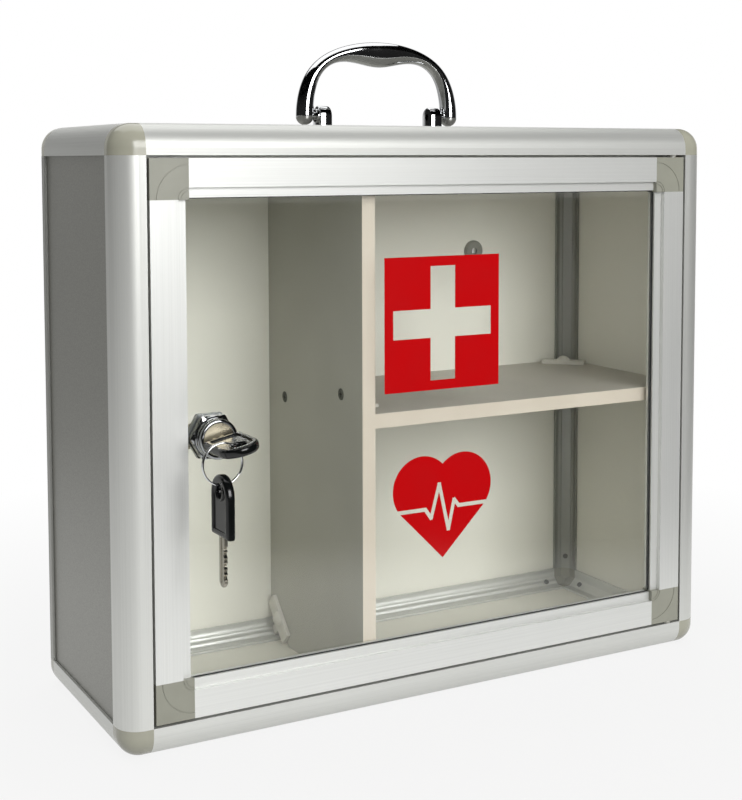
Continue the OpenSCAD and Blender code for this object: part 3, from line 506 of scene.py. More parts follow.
@dataclass(frozen=True)
class LaminateBoard(Finish):
    """Chipboard between two pressed films, with a pale strip ironed on its edges."""

    # Grey film, darker than the white film of the back panel: painted shade of the cabinet's inside. The
    # shelf sets its own.
    face: str = "#bdbcb3"
    face_shade: str = "#a9a79d"
    edge: str = "#ddd2c3"
    edge_shade: str = "#d0c4b3"
    flat: Axis = Axis.X
    cloud_mm: float = 40.0
    grain_mm: float = 0.588

    def surface(self, tree: bpy.types.NodeTree) -> Any:
        """Builds the shader: faces along the flat axis take the film, the others the edge strip.

        Args:
            tree: Node tree that gets the nodes.

        Returns:
            The shader's socket.
        """
        normal = add(tree, "ShaderNodeTexCoord").outputs["Normal"]
        parts = add(tree, "ShaderNodeSeparateXYZ", {0: normal})
        facing = calc(tree, "GREATER_THAN", calc(tree, "ABSOLUTE", parts.outputs[self.flat.value]), 0.5)
        cloud = self.even_noise(tree, self.cloud_mm, 4)
        grain = self.even_noise(tree, self.grain_mm, 2)
        film = self.two_tone(tree, cloud, 0.35, self.face, self.face_shade)
        strip = self.two_tone(tree, cloud, 0.5, self.edge, self.edge_shade)
        inputs = {
            "Base Color": mix(tree, facing, strip, film),
            "Roughness": remap(tree, grain, 0.4, 0.52, *NOISE_BAND),
            "Normal": self.bump(tree, grain, 0.07, 0.04),
        }
        return add(tree, "ShaderNodeBsdfPrincipled", inputs).outputs[0]


@dataclass(frozen=True)
class FloatGlass(Finish):
    """Clear float glass: a mirror at a glance, clear face on, a faint green in its thickness."""

    tint: str = "#fdfefd"
    clear: str = "#fafbfa"
    smear_mm: float = 143.0
    ior: float = 1.5

    def surface(self, tree: bpy.types.NodeTree) -> Any:
        """Builds the shader: real glass to the eye, and plain clear to light on its way in.

        Args:
            tree: Node tree that gets the nodes.

        Returns:
            The shader's socket.
        """
        smear = self.even_noise(tree, self.smear_mm, 4)
        inputs = {
            "Base Color": linear(self.tint),
            "Roughness": remap(tree, smear, 0.0, 0.02, 0.35, 0.75),
            "IOR": self.ior,
            "Transmission Weight": 1.0,
        }
        glass = add(tree, "ShaderNodeBsdfPrincipled", inputs).outputs[0]
        clear = add(tree, "ShaderNodeBsdfTransparent", {"Color": linear(self.clear)}).outputs[0]
        path = add(tree, "ShaderNodeLightPath")
        way = calc(tree, "MAXIMUM", path.outputs["Is Shadow Ray"], path.outputs["Is Diffuse Ray"])
        return add(tree, "ShaderNodeMixShader", {0: way, 1: glass, 2: clear}).outputs[0]


@dataclass(frozen=True)
class BlackRubber(Finish):
    """Extruded black rubber: a deep matt black with a dull bloom."""

    colour: str = "#141414"
    bloom: str = "#2a2a29"
    bloom_mm: float = 3.33

    def surface(self, tree: bpy.types.NodeTree) -> Any:
        """Builds the shader: a soft black with a faint mottle.

        Args:
            tree: Node tree that gets the nodes.

        Returns:
            The shader's socket.
        """
        mottle = self.even_noise(tree, self.bloom_mm)
        inputs = {
            "Base Color": self.two_tone(tree, mottle, 0.3, self.colour, self.bloom),
            "Roughness": remap(tree, mottle, 0.6, 0.75, *NOISE_BAND),
            "Normal": self.bump(tree, mottle, 0.2, 0.05),
        }
        return add(tree, "ShaderNodeBsdfPrincipled", inputs).outputs[0]


@dataclass(frozen=True)
class RedVinyl(Finish):
    """Cut vinyl film: a strong flat red with a gloss and the faintest waviness."""

    colour: str = "#b9060b"
    shade: str = "#ad050a"
    wave_mm: float = 22.2
    ior: float = 1.54

    def surface(self, tree: bpy.types.NodeTree) -> Any:
        """Builds the shader: gloss over an even red.

        Args:
            tree: Node tree that gets the nodes.

        Returns:
            The shader's socket.
        """
        wave = self.even_noise(tree, self.wave_mm, 2)
        inputs = {
            "Base Color": self.two_tone(tree, wave, 0.25, self.colour, self.shade),
            "Roughness": remap(tree, wave, 0.1, 0.15, *NOISE_BAND),
            "IOR": self.ior,
            "Normal": self.bump(tree, wave, 0.05, 0.05),
        }
        return add(tree, "ShaderNodeBsdfPrincipled", inputs).outputs[0]


@dataclass(frozen=True)
class PlatedMetal(Finish):
    """Plated metal: chrome, nickel or zinc, told apart by colour, polish and fine wear."""

    colour: str = "#e2e3e4"
    # Colour of the spots: wear, and on the screws and key blades also painted shade, on the lock painted dark
    # reflection.
    worn_and_shaded: str = "#b8b8b6"
    rough: float = 0.05
    wear: float = 0.1
    grain_mm: float = 1.0
    haze_mm: float = 16.7

    def surface(self, tree: bpy.types.NodeTree) -> Any:
        """Builds the shader: polish with faint spots of a darker colour, which are wear, and on the screws
        and key blades also painted shade, on the lock painted dark reflection.

        Args:
            tree: Node tree that gets the nodes.

        Returns:
            The shader's socket.
        """
        scuff_and_shade = self.even_noise(tree, self.grain_mm, 4)
        haze = self.even_noise(tree, self.haze_mm)
        inputs = {
            "Base Color": self.two_tone(tree, scuff_and_shade, self.wear, self.colour, self.worn_and_shaded, (0.5, 0.8)),
            "Metallic": 1.0,
            "Roughness": remap(tree, haze, self.rough, self.rough * 1.8 + 0.02, 0.35, 0.75),
            "Normal": self.bump(tree, scuff_and_shade, 0.04 + self.wear * 0.3, 0.02),
        }
        return add(tree, "ShaderNodeBsdfPrincipled", inputs).outputs[0]


RAIL_X = AnodisedAluminium("anodised_along_width", grain=Axis.X)
RAIL_Y = AnodisedAluminium("anodised_along_depth", grain=Axis.Y)
RAIL_Z = AnodisedAluminium("anodised_along_height", grain=Axis.Z)
REAR_X = AnodisedAluminium("anodised_ridged_width", grain=Axis.X, ridge_mm=5.5)
# The rear posts are drawn darker than the other bars: painted shade of the back of the cabinet's inside.
REAR_Z = AnodisedAluminium("anodised_ridged_height_painted_shade", colour="#a9aaa5", grain=Axis.Z, ridge_mm=5.5)
DOOR_X = AnodisedAluminium("door_anodised_along_width", colour="#e8e9e6", grain=Axis.X, rough=0.44)
DOOR_Z = AnodisedAluminium("door_anodised_along_height", colour="#e8e9e6", grain=Axis.Z, rough=0.44)
CASING_CORNER = MouldedAbs("abs_grey_beige_gloss", colour="#a1a091", rough=0.18, coat=0.4)
DOOR_CORNER = MouldedAbs("abs_grey_beige_satin", colour="#929286", rough=0.32, peel=0.12)
PANEL = LaminatePanel("silver_film_on_fibreboard")
# The divider keeps the grey film: painted shade of the cabinet's inside.
DIVIDER = LaminateBoard("divider_laminate_painted_shade", flat=Axis.X)
SHELF = LaminateBoard("shelf_laminate", face="#c6c1b8", flat=Axis.Z)
WHITE = MouldedAbs("nylon_white", colour="#e4e1d8", rough=0.38, peel=0.2)
SEAL = BlackRubber("rubber_black")
GLASS = FloatGlass("float_glass")
VINYL = RedVinyl("vinyl_red")
CHROME = PlatedMetal("chrome_plate")
NICKEL = PlatedMetal("nickel_on_brass", colour="#cfc6ae", worn_and_shaded="#a89772", rough=0.2, wear=0.4, grain_mm=0.6)
# The blade's dark spots are partly wear and partly painted shade of its cuts.
KEY_STEEL = PlatedMetal(
    "nickel_on_steel", colour="#aaa598", worn_and_shaded="#6a6359", rough=0.16, wear=0.8, grain_mm=0.6
)
# Chrome drawn darker than the handle's: painted dark reflections on the lock.
LOCK_CHROME = PlatedMetal(
    "chrome_on_zinc_painted_dark_reflection", colour="#a4a6a7", worn_and_shaded="#7f8182", rough=0.06, wear=0.2, grain_mm=0.8
)
# The screws are drawn much darker than zinc plate, spots included: painted shade of their sunk heads.
SCREW = PlatedMetal("zinc_painted_shade", colour="#62635e", worn_and_shaded="#2e2f2b", rough=0.35, wear=0.6, grain_mm=0.7)
ZINC = PlatedMetal("zinc_plate", colour="#b9bcbe", worn_and_shaded="#8f9294", rough=0.26, wear=0.4, grain_mm=0.8)
KEY_BLACK = MouldedAbs("abs_black", colour="#0b0d0d", rough=0.17, peel=0.06)
WASHER = MouldedAbs("acetal_grey", colour="#8e8e86", rough=0.4)
PALE_ABS = MouldedAbs("acetal_pale", colour="#bdbbb2", rough=0.35)


# ---------------------------------------------------------------- the cabinet


@dataclass
class Layout:
    """Places that the sub-assemblies share, read from the frame, in metres of the row frame."""

    frame: dict[str, Any]
    front: float = field(init=False)

    def __post_init__(self) -> None:
        """Reads the plane of the door's face."""
        self.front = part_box("door_stile_left")[0].y

    def at(self, x: float, y: float, z: float) -> Vector:
        """Point given in mm from the middle, the front plane and the base."""
        return Vector((x * MM, self.front + y * MM, z * MM))

    def dress(self, names: Iterable[str], finish: Finish) -> None:
        """Gives CAD nodes a finish.

        Args:
            names: Names of the nodes.
            finish: Finish for all of them.
        """
        for name in names:
            node = self.frame["nodes"][name]
            node.data.materials.clear()
            node.data.materials.append(finish.material())
            LOG.info("dressed %s as %s", name, finish.name)

    def fit(self, piece: bpy.types.Object, body: str, slot: str, finish: Finish, stands_for: str) -> None:
        """Gives a new piece its finish and body, and hides the CAD node it replaces.

        Args:
            piece: The new piece, in place.
            body: CAD body that it rides on.
            slot: Material slot of the record. Not used.
            finish: Finish of the piece.
            stands_for: CAD node that it replaces.
        """
        piece.data.materials.append(finish.material())
        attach(piece, body)
        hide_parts(stands_for)
        LOG.info("built %s on %s", piece.name, body)


@dataclass
class Casing:
    """The fixed frame with its corner pieces, panels, boards and small fittings."""

    layout: Layout

    def dress(self) -> None:
        """Gives each casing node its finish."""
        ends = ("bottom", "top")
        sides = ("left", "right")
        dress = self.layout.dress
        dress((f"front_rail_{e}" for e in ends), RAIL_X)
        dress((f"rear_rail_{e}" for e in ends), REAR_X)
        dress((f"side_rail_{e}_{s}" for e in ends for s in sides), RAIL_Y)
        dress((f"front_post_{s}" for s in sides), RAIL_Z)
        dress((f"rear_post_{s}" for s in sides), REAR_Z)
        for row in ("front", "rear"):
            dress((f"corner_{row}_{e}_{s}" for e in ends for s in sides), CASING_CORNER)
        dress(("side_panel_left", "side_panel_right", "top_panel", "floor_panel", "back_panel"), PANEL)
        dress(("divider",), DIVIDER)
        dress(("shelf",), SHELF)
        dress(("corner_clips", "shelf_bracket", "door_bumpers"), WHITE)
        dress(("wall_washers",), WASHER)
        dress(("small_screws",), SCREW)
        dress(("keeper_plate",), ZINC)
        dress(("hinge_bushes",), PALE_ABS)


@dataclass
class Door:
    """The glazed door: frame, corner pieces, pane, seal and stickers."""

    layout: Layout

    def dress(self) -> None:
        """Gives each door node its finish."""
        dress = self.layout.dress
        dress(("door_stile_left", "door_stile_right"), DOOR_Z)
        dress(("door_rail_top", "door_rail_bottom"), DOOR_X)
        dress((f"door_corner_{e}_{s}" for e in ("top", "bottom") for s in ("left", "right")), DOOR_CORNER)
        dress(("door_glass",), GLASS)
        dress(("glazing_seal",), SEAL)
        dress(("cross_sticker", "heart_sticker"), VINYL)
        dress(("hinge_pins", "lock_nut"), ZINC)


@dataclass
class CarryHandle:
    """Chromed carry handle with its two brackets. Sizes in mm."""

    layout: Layout
    foot_x: float = 51.5
    arch_h: float = 41.5
    # How far the arch bends from a half ellipse towards a rectangle.
    square: float = 0.04
    foot_r: float = 5.75
    foot_share: float = 0.93
    neck: float = 2.7
    grip_more: float = 2.0
    grip_under: float = 6.2
    lobe: float = 0.5
    lobes_per_turn: int = 8
    side_half: float = 4.6
    grip_side: float = 2.2
    # The higher one of these powers is, the shorter is the stretch of the arch that it shapes.
    foot_power: int = 4
    swell_power: int = 6
    under_power: int = 14
    lobe_power: int = 30
    pivot_y: float = 79.0
    pivot_z: float = 347.4
    pivot_r: float = 2.4
    pivot_soft: float = 0.3
    top_face: float = 338.4
    ear_in: float = 35.45
    ear_out: float = 43.45
    ear_d: float = 12.0
    # Width of the soft edge of each ear, and the share of it at which its slope changes.
    ear_soft: float = 0.8
    ear_bend: float = 0.3
    boss_r: float = 4.2
    boss_out: float = 1.0
    boss_soft: float = 0.4
    steps: int = 144
    sides: int = 48
    dome_steps: int = 12
    ear_steps: int = 24
    pin_sides: int = 32

    def section(self, angle: float) -> list[Vector]:
        """Builds the loop of points round the arch at one place.

        Args:
            angle: Angle along the arch, from 0 at the left foot to a half turn at the right one.

        Returns:
            The points, in mm from the middle between the pivots.
        """
        cos, sin = math.cos(angle), math.sin(angle)
        cos3, sin3 = math.cos(3 * angle) * self.square, math.sin(3 * angle) * self.square
        swell = sin**self.swell_power
        wave = (1 - math.cos(self.lobes_per_turn * (angle - math.pi / 2))) / 2
        fingers = self.lobe * wave * sin**self.lobe_power
        at_foot = cos**self.foot_power * self.foot_share
        outward = self.neck + (self.foot_r - self.neck) * at_foot + self.grip_more * swell
        inward = outward + self.grip_under * sin**self.under_power - fingers
        aside = self.side_half + (self.foot_r - self.side_half) * at_foot + self.grip_side * swell
        spot = Vector((-self.foot_x * (cos - cos3), 0, self.arch_h * (sin + sin3))) / (1 - self.square)
        slope = Vector((self.foot_x * (sin - 3 * sin3), 0, self.arch_h * (cos + 3 * cos3))).normalized()
        normal = Vector((-slope.z, 0, slope.x))
        made = []
        for turn in circle(self.sides):
            reach = outward if math.cos(turn) > 0 else inward
            made.append(spot + normal * reach * math.cos(turn) + Vector((0, aside * math.sin(turn), 0)))
        return made

    def foot(self, side: int) -> list[list[Vector]]:
        """Builds the loops that close the foot of one leg in a dome below its pivot.

        Args:
            side: -1 for the left leg, 1 for the right one.

        Returns:
            The loops from the pivot down.
        """
        base = self.section(0.0 if side < 0 else math.pi)
        middle = sum(base, Vector()) / len(base)
        loops = []
        for k in range(1, self.dome_steps):
            fall = k / self.dome_steps * math.pi / 2
            drop = Vector((0, 0, -self.foot_r * math.sin(fall)))
            loops.append([middle + (p - middle) * math.cos(fall) + drop for p in base])
        return loops

    def arch(self) -> bpy.types.Object:
        """Builds the arch with its feet and pivot pins.

        Returns:
            The new piece, in place.
        """
        loops = list(reversed(self.foot(-1)))
        loops += [self.section(math.pi * i / self.steps) for i in range(self.steps + 1)]
        loops += self.foot(1)
        shift = self.layout.at(0, self.pivot_y, self.pivot_z)
        pin = (
            (self.ear_in, self.pivot_r - self.pivot_soft),
            (self.ear_in + self.pivot_soft, self.pivot_r),
            (self.foot_x, self.pivot_r),
        )

        def build(form: bmesh.types.BMesh) -> None:
            """Fills the mesh of the arch and its two pins."""
            skin(form, [[shift + p * MM for p in loop] for loop in loops])
            for side in (-1, 1):
                skin(form, [self.disc(side * x, radius) for x, radius in pin])

        return solid("handle_arch", build, 40)

    def disc(self, x: float, radius: float) -> list[Vector]:
        """Circle of points round the line of the pivots, at a distance from the middle in mm."""
        spots = ((radius * math.cos(a), radius * math.sin(a)) for a in circle(self.pin_sides))
        return [self.layout.at(x, self.pivot_y + y, self.pivot_z + z) for y, z in spots]

    def bracket(self, side: int) -> bpy.types.Object:
        """Builds one bracket: a plate with a round top, soft edges and a boss towards the leg.

        Args:
            side: -1 for the left bracket, 1 for the right one.

        Returns:
            The new piece, in place.
        """
        half = self.ear_d / 2
        soft, bent = self.ear_soft, self.ear_soft * self.ear_bend
        bends = [math.pi * i / self.ear_steps for i in range(self.ear_steps + 1)]
        arc = [(-half * math.cos(a), self.pivot_z + half * math.sin(a)) for a in bends]
        outline = [(-half, self.top_face), *arc, (half, self.top_face)]
        middle_z = (self.top_face + self.pivot_z) / 2
        near, far = self.ear_in, self.ear_out
        plate = (
            (near, soft),
            (near + bent, bent),
            (near + soft, 0.0),
            (far - soft, 0.0),
            (far - bent, bent),
            (far, soft),
        )
        boss = (
            (far - self.boss_soft / 2, self.boss_r),
            (far + self.boss_out - self.boss_soft, self.boss_r),
            (far + self.boss_out, self.boss_r - self.boss_soft),
        )

        def loop(x: float, less: float) -> list[Vector]:
            """Outline at one x, drawn in by a little at its edges."""
            share = 1 - less / half
            lifted = ((y, z if z <= self.top_face else middle_z + (z - middle_z) * share) for y, z in outline)
            return [self.layout.at(side * x, self.pivot_y + y * share, z) for y, z in lifted]

        def build(form: bmesh.types.BMesh) -> None:
            """Fills the mesh of the bracket and its boss."""
            skin(form, [loop(x, less) for x, less in plate])
            skin(form, [self.disc(side * x, radius) for x, radius in boss])

        return solid(f"handle_ear_{'left' if side < 0 else 'right'}", build, 40)

    def dress(self) -> None:
        """Builds the handle and its brackets in place of their plain nodes."""
        self.layout.fit(self.arch(), "handle", "handle", CHROME, "handle_bail")
        self.layout.fit(self.bracket(-1), "casing", "bracket", CHROME, "handle_bracket_left")
        self.layout.fit(self.bracket(1), "casing", "bracket", CHROME, "handle_bracket_right")


@dataclass
class CamLock:
    """Cam lock in the glass: bezel, six-sided collar, plug and cam. Sizes in mm."""

    layout: Layout
    axis_x: float = -145.0
    axis_z: float = 171.0
    bezel_r: float = 11.0
    bezel_y: float = -6.0
    bezel_soft: float = 1.4
    collar_r: float = 13.5
    collar_y: float = 1.5
    collar_soft: float = 0.7
    collar_edge: float = 0.3
    collar_seat: float = 0.2
    glass_y: float = 5.0
    barrel_r: float = 9.0
    barrel_end: float = 17.8
    barrel_edge: float = 0.4
    well_r: float = 8.85
    well_deep: float = 3.4
    well_soft: float = 0.7
    plug_r: float = 6.25
    # Corners of the groove round the bezel, behind its front, and of the neck, before the collar.
    groove: tuple[float, float, float, float] = (2.6, 2.9, 3.6, 3.9)
    groove_deep: float = 0.6
    neck: tuple[float, float, float] = (1.6, 1.1, 0.4)
    neck_deep: float = 0.7
    neck_soft: float = 0.3
    fine_soft: float = 0.2
    sides: int = 96

    def profile(self) -> list[tuple[float, float, float]]:
        """Lists the corners of the turned outline of the bezel and the barrel.

        Returns:
            Radius, distance from the front plane and fillet of each corner, in mm.
        """
        well_floor = self.bezel_y + self.well_deep
        grooved, necked = self.bezel_r - self.groove_deep, self.bezel_r - self.neck_deep
        seat = self.collar_y + self.barrel_edge
        fine = self.fine_soft
        return [
            (self.well_r, well_floor, 0),
            (self.well_r, self.bezel_y, self.well_soft),
            (self.bezel_r, self.bezel_y, self.bezel_soft),
            (self.bezel_r, self.bezel_y + self.groove[0], fine),
            (grooved, self.bezel_y + self.groove[1], fine),
            (grooved, self.bezel_y + self.groove[2], fine),
            (self.bezel_r, self.bezel_y + self.groove[3], fine),
            (self.bezel_r, self.collar_y - self.neck[0], self.neck_soft),
            (necked, self.collar_y - self.neck[1], fine),
            (necked, self.collar_y - self.neck[2], fine),
            (self.bezel_r, self.collar_y, 0),
            (self.bezel_r, seat, 0),
            (self.barrel_r, seat, 0),
            (self.barrel_r, self.barrel_end - self.barrel_edge, 0),
            (self.barrel_r - self.barrel_edge, self.barrel_end, 0),
            (self.plug_r, self.barrel_end, 0),
            (self.plug_r, well_floor, 0),
        ]

    def hexagon(self, y: float, turned_r: float) -> list[Vector]:
        """Builds a loop of the collar: a hexagon whose corners are turned off.

        Args:
            y: Distance of the loop from the front plane.
            turned_r: Radius at which its corners are turned off.

        Returns:
            The points round the Y axis, in metres.
        """
        flat = self.collar_r * math.cos(math.pi / 6)
        made = []
        for turn in circle(self.sides):
            fold = (turn % (math.pi / 3)) - math.pi / 6
            reach = min(flat / math.cos(fold), turned_r)
            made.append(Vector((reach * math.cos(turn), y, reach * math.sin(turn))) * MM)
        return made

    def barrel(self) -> bpy.types.Object:
        """Builds the bezel and the barrel as one turned piece, and the collar round it.

        Returns:
            The new piece, in place.
        """
        turned = [ring(r * MM, y * MM, self.sides) for r, y in rounded(self.profile())]
        inside = (self.barrel_r - self.collar_seat) * MM
        collar = [
            self.hexagon(self.collar_y, self.collar_r * math.cos(math.pi / 6)),
            self.hexagon(self.collar_y + self.collar_soft, self.collar_r),
            self.hexagon(self.glass_y - self.collar_edge, self.collar_r),
            self.hexagon(self.glass_y, self.collar_r - self.collar_edge),
            ring(inside, self.glass_y * MM, self.sides),
            ring(inside, self.collar_y * MM, self.sides),
        ]

        def build(form: bmesh.types.BMesh) -> None:
            """Fills the mesh of the turned piece and the collar."""
            skin(form, turned, closed=True)
            skin(form, collar, closed=True)

        piece = solid("lock_bezel", build, 30)
        return place(piece, Matrix.Translation(self.layout.at(self.axis_x, 0, self.axis_z)))

    def dress(self) -> None:
        """Builds the barrel in place of its plain node and finishes the turning parts."""
        self.layout.fit(self.barrel(), "door", "lock_chrome", LOCK_CHROME, "lock_barrel")
        self.layout.dress(("lock_plug", "lock_cam"), NICKEL)


@dataclass
class Keys:
    """Key in the lock, spare key and the split ring between them. Sizes in mm."""

    layout: Layout
    axis_x: float = -145.0
    axis_z: float = 171.0
    rest_turn: float = 12.0
    bow_y: float = -9.2
    bow_w: float = 22.0
    bow_len: float = 32.5
    bow_t: float = 5.0
    hole_r: float = 4.0
    hole_in: float = 8.5
    rim: float = 3.2
    recess: float = 0.9
    # Width of the flat round the hole, and of the slope from there down to the recess.
    boss_w: float = 1.2
    boss_slope: float = 0.3
    # Share of the recess that is left part way up the rim's inner slope, and how far that place and
    # the top of the slope are from the web.
    rim_share: float = 0.3
    rim_slope: tuple[float, float] = (0.25, 0.6)
    # The web starts to sink where it is wider than the first of these, and is fully sunk at the second.
    web_room: tuple[float, float] = (0.2, 1.6)
    # Least distance between the loops round the hole and the rim.
    web_gap: float = 0.05
    # Edge of the hole: distance out from the hole and down from the face.
    hole_edge: tuple[tuple[float, float], ...] = ((0.0, 0.6), (0.15, 0.2), (0.5, 0.0))
    # Edge of the bow: distance in from the outline and down from the face.
    bow_edge: tuple[tuple[float, float], ...] = ((1.5, 0.0), (0.7, 0.25), (0.2, 0.8), (0.0, 1.6))
    rays: int = 96
    halvings: int = 40
    ring_r: float = 11.0
    wire_r: float = 0.5
    coil: float = 0.9
    ring_left: float = 9.9
    ring_z: float = 164.003
    ring_steps: int = 288
    wire_sides: int = 16
    # Where the wire starts, in radians, and how thin its two ends are.
    wire_start: float = -0.6
    wire_end: float = 0.6
    # Share of the wire's length between which it crosses from one turn to the next.
    crossing: tuple[float, float] = (0.44, 0.56)
    spare_top: float = 158.605
    blade_len: float = 26.6
    blade_w: float = 7.0
    blade_t: float = 2.0
    blade_root: float = 7.9
    blade_steps: int = 180
    spine_soft: float = 0.2
    cut_soft: float = 0.15
    # Start, end and depth of the groove across the blade, and its least distance from both edges.
    groove: tuple[float, float, float] = (-1.3, 0.7, 0.4)
    groove_land: tuple[float, float] = (0.3, 0.5)
    # Distances from the tip between which the groove runs out.
    groove_end: tuple[float, float] = (1.0, 3.0)
    # Length and slope of the thinned tip.
    tip_thin: tuple[float, float] = (0.5, 0.6)
    cuts: tuple[float, ...] = (0.9, 1.2, 0.5, 1.2, 0.8, 1.1)
    cut_step: float = 3.0
    first_cut: float = 6.0
    cut_flat: float = 0.4
    cut_slope: float = 0.9

    def reach(self, turn: float, inset: float) -> float:
        """Distance from the middle of the hole to the outline of the bow, drawn in by an inset.

        Args:
            turn: Angle of the ray, with 0 along +x and the bow's length along y.
            inset: How far the outline is drawn in.

        Returns:
            The distance in mm.
        """
        half = self.bow_w / 2 - inset
        centre_y = -(self.bow_len - self.bow_w / 2)
        hole_y = -self.bow_len + self.hole_in
        low, high = 0.0, 2 * self.bow_len
        # Each step halves the range in which the outline lies.
        for _ in range(self.halvings):
            mid = (low + high) / 2
            x = mid * math.cos(turn)
            y = hole_y + mid * math.sin(turn)
            inside = abs(x) < half and y < -inset if y > centre_y else math.hypot(x, y - centre_y) < half
            low, high = (mid, high) if inside else (low, mid)
        return low

    def bow(self, name: str) -> bpy.types.Object:
        """Builds one bow lying flat: a round-edged rim, a sunk web and a hole.

        Args:
            name: Name of the new piece.

        Returns:
            The bow with its shoulder at y = 0, lying in the x, y plane.
        """
        half = self.bow_t / 2
        hole_y = -self.bow_len + self.hole_in
        turns = circle(self.rays, 0.5)
        web = [self.reach(a, self.rim) for a in turns]
        boss = self.boss_w + self.boss_slope

        def from_edge(inset: float, down: float) -> list[tuple[float, float]]:
            """Distance and height of each ray at an inset from the outline."""
            return [(self.reach(a, inset), half - down) for a in turns]

        def from_hole(out: float, down: float, sunk: float = 0.0) -> list[tuple[float, float]]:
            """Lists where a loop round the hole meets each ray.

            Args:
                out: Distance of the loop from the hole's edge.
                down: Its depth below the face.
                sunk: How much deeper it lies where the web has room.

            Returns:
                Distance from the hole's middle and height, for each ray.
            """
            made = []
            for limit in web:
                room = smooth(self.web_room, limit - self.hole_r - out)
                made.append((min(self.hole_r + out, limit - self.web_gap), half - down - sunk * room))
            return made

        def sunk_edge(inset: float, sunk: float) -> list[tuple[float, float]]:
            """Distance and height of each ray at an inset from the outline, sunk the same way."""
            rooms = (smooth(self.web_room, limit - self.hole_r - boss) for limit in web)
            return [(self.reach(a, inset), half - sunk * room) for a, room in zip(turns, rooms)]

        upper = [
            *(from_hole(out, down) for out, down in self.hole_edge),
            from_hole(self.boss_w, 0.0),
            from_hole(boss, 0.0, self.recess),
            sunk_edge(self.rim, self.recess),
            sunk_edge(self.rim - self.rim_slope[0], self.recess * self.rim_share),
            from_edge(self.rim - self.rim_slope[1], 0.0),
            *(from_edge(inset, down) for inset, down in self.bow_edge),
        ]
        lower = [[(d, -z) for d, z in loop] for loop in reversed(upper)]
        rows = []
        for loop in upper + lower:
            spots = ((d * math.cos(a), hole_y + d * math.sin(a), z) for a, (d, z) in zip(turns, loop))
            rows.append([Vector(spot) * MM for spot in spots])
        return solid(name, lambda form: skin(form, rows, closed=True), 50)

    def edge(self, distance: float) -> float:
        """Finds how far the cut edge of the blade is from its middle.

        Args:
            distance: Distance from the bow's shoulder, in mm.

        Returns:
            The distance across the blade in mm.
        """
        deep = 0.0
        for i, cut in enumerate(self.cuts):
            off = abs(distance - self.first_cut - i * self.cut_step)
            deep = max(deep, cut - max(0.0, off - self.cut_flat) * self.cut_slope)
        return self.blade_w / 2 - deep

    def blade_section(self, distance: float) -> list[Vector]:
        """Builds the section of the blade at a distance from the bow.

        Args:
            distance: Distance from the bow's shoulder, in mm.

        Returns:
            The points round the section, in metres.
        """
        start, end, deep = self.groove
        spine, fine = self.spine_soft, self.cut_soft
        point = max(0.0, distance - (self.blade_len - self.blade_w / 3))
        left, right = -self.blade_w / 2 + point, self.edge(distance) - point
        past = max(0.0, distance - self.blade_len + self.tip_thin[0])
        thin = self.blade_t / 2 - past * self.tip_thin[1]
        low, high = max(start, left + self.groove_land[0]), min(end, right - self.groove_land[1])
        run_out = (self.blade_len - self.groove_end[0], self.blade_len - self.groove_end[1])
        floor = thin - deep * smooth(run_out, distance)
        face = [
            (left, thin - spine),
            (left + spine, thin),
            (low, thin),
            (low + fine, floor),
            (high - fine, floor),
            (high, thin),
            (right - fine, thin),
            (right, thin - fine),
        ]
        spots = [(x, -z) for x, z in face] + list(reversed(face))
        return [Vector((x, distance, z)) * MM for x, z in spots]

    def blade(self, name: str) -> bpy.types.Object:
        """Builds one blade lying flat, with a groove along it and cuts in one edge.

        Args:
            name: Name of the new piece.

        Returns:
            The blade with the bow's shoulder at y = 0 and its tip along +y.
        """
        length = self.blade_root + self.blade_len
        rows = [-self.blade_root + length * i / self.blade_steps for i in range(self.blade_steps + 1)]
        return solid(name, lambda form: skin(form, [self.blade_section(y) for y in rows]), 30)

    def split_ring(self) -> bpy.types.Object:
        """Builds the ring as two full turns of one wire.

        Returns:
            The new piece, in place.
        """
        middle = self.layout.at(self.axis_x - self.ring_left, self.hole_from_front(), self.ring_z)
        loops = []
        for i in range(self.ring_steps + 1):
            share = i / self.ring_steps
            turn = 4 * math.pi * share + self.wire_start
            drift = (smooth(self.crossing, share) - 0.5) * self.coil
            out = Vector((math.cos(turn), 0, math.sin(turn)))
            centre = middle + (out * self.ring_r + Vector((0, drift, 0))) * MM
            size = self.wire_r * (self.wire_end if share in (0, 1) else 1.0) * MM
            bends = ((math.cos(b), math.sin(b)) for b in circle(self.wire_sides))
            loops.append([centre + (out * x + Vector((0, y, 0))) * size for x, y in bends])
        return solid("split_ring", lambda form: skin(form, loops), 60)

    def hole_from_front(self) -> float:
        """Distance of the middle of the bow's hole from the front plane."""
        return self.bow_y - self.bow_len + self.hole_in

    def dress(self) -> None:
        """Builds both keys and the ring in place of their plain nodes."""
        tilt = Matrix.Rotation(math.radians(-self.rest_turn), 4, "Y")
        in_lock = Matrix.Translation(self.layout.at(self.axis_x, self.bow_y, self.axis_z)) @ tilt
        hang = Matrix.Rotation(math.radians(-90), 4, "Z") @ Matrix.Rotation(math.radians(-90), 4, "X")
        left, top = self.axis_x - self.ring_left, self.spare_top - self.bow_len
        spot = self.layout.at(left, self.hole_from_front(), top)
        on_ring = Matrix.Translation(spot) @ hang
        for body, first, where in (("key", "key", in_lock), ("spare_key", "spare", on_ring)):
            bow = place(self.bow(f"{first}_bow_moulded"), where)
            self.layout.fit(bow, body, "key_plastic", KEY_BLACK, f"{first}_bow")
            blade = place(self.blade(f"{first}_blade_cut"), where)
            self.layout.fit(blade, body, "key_steel", KEY_STEEL, f"{first}_blade")
        self.layout.fit(self.split_ring(), "ring", "ring_steel", CHROME, "key_ring")


# ---------------------------------------------------------------- studio


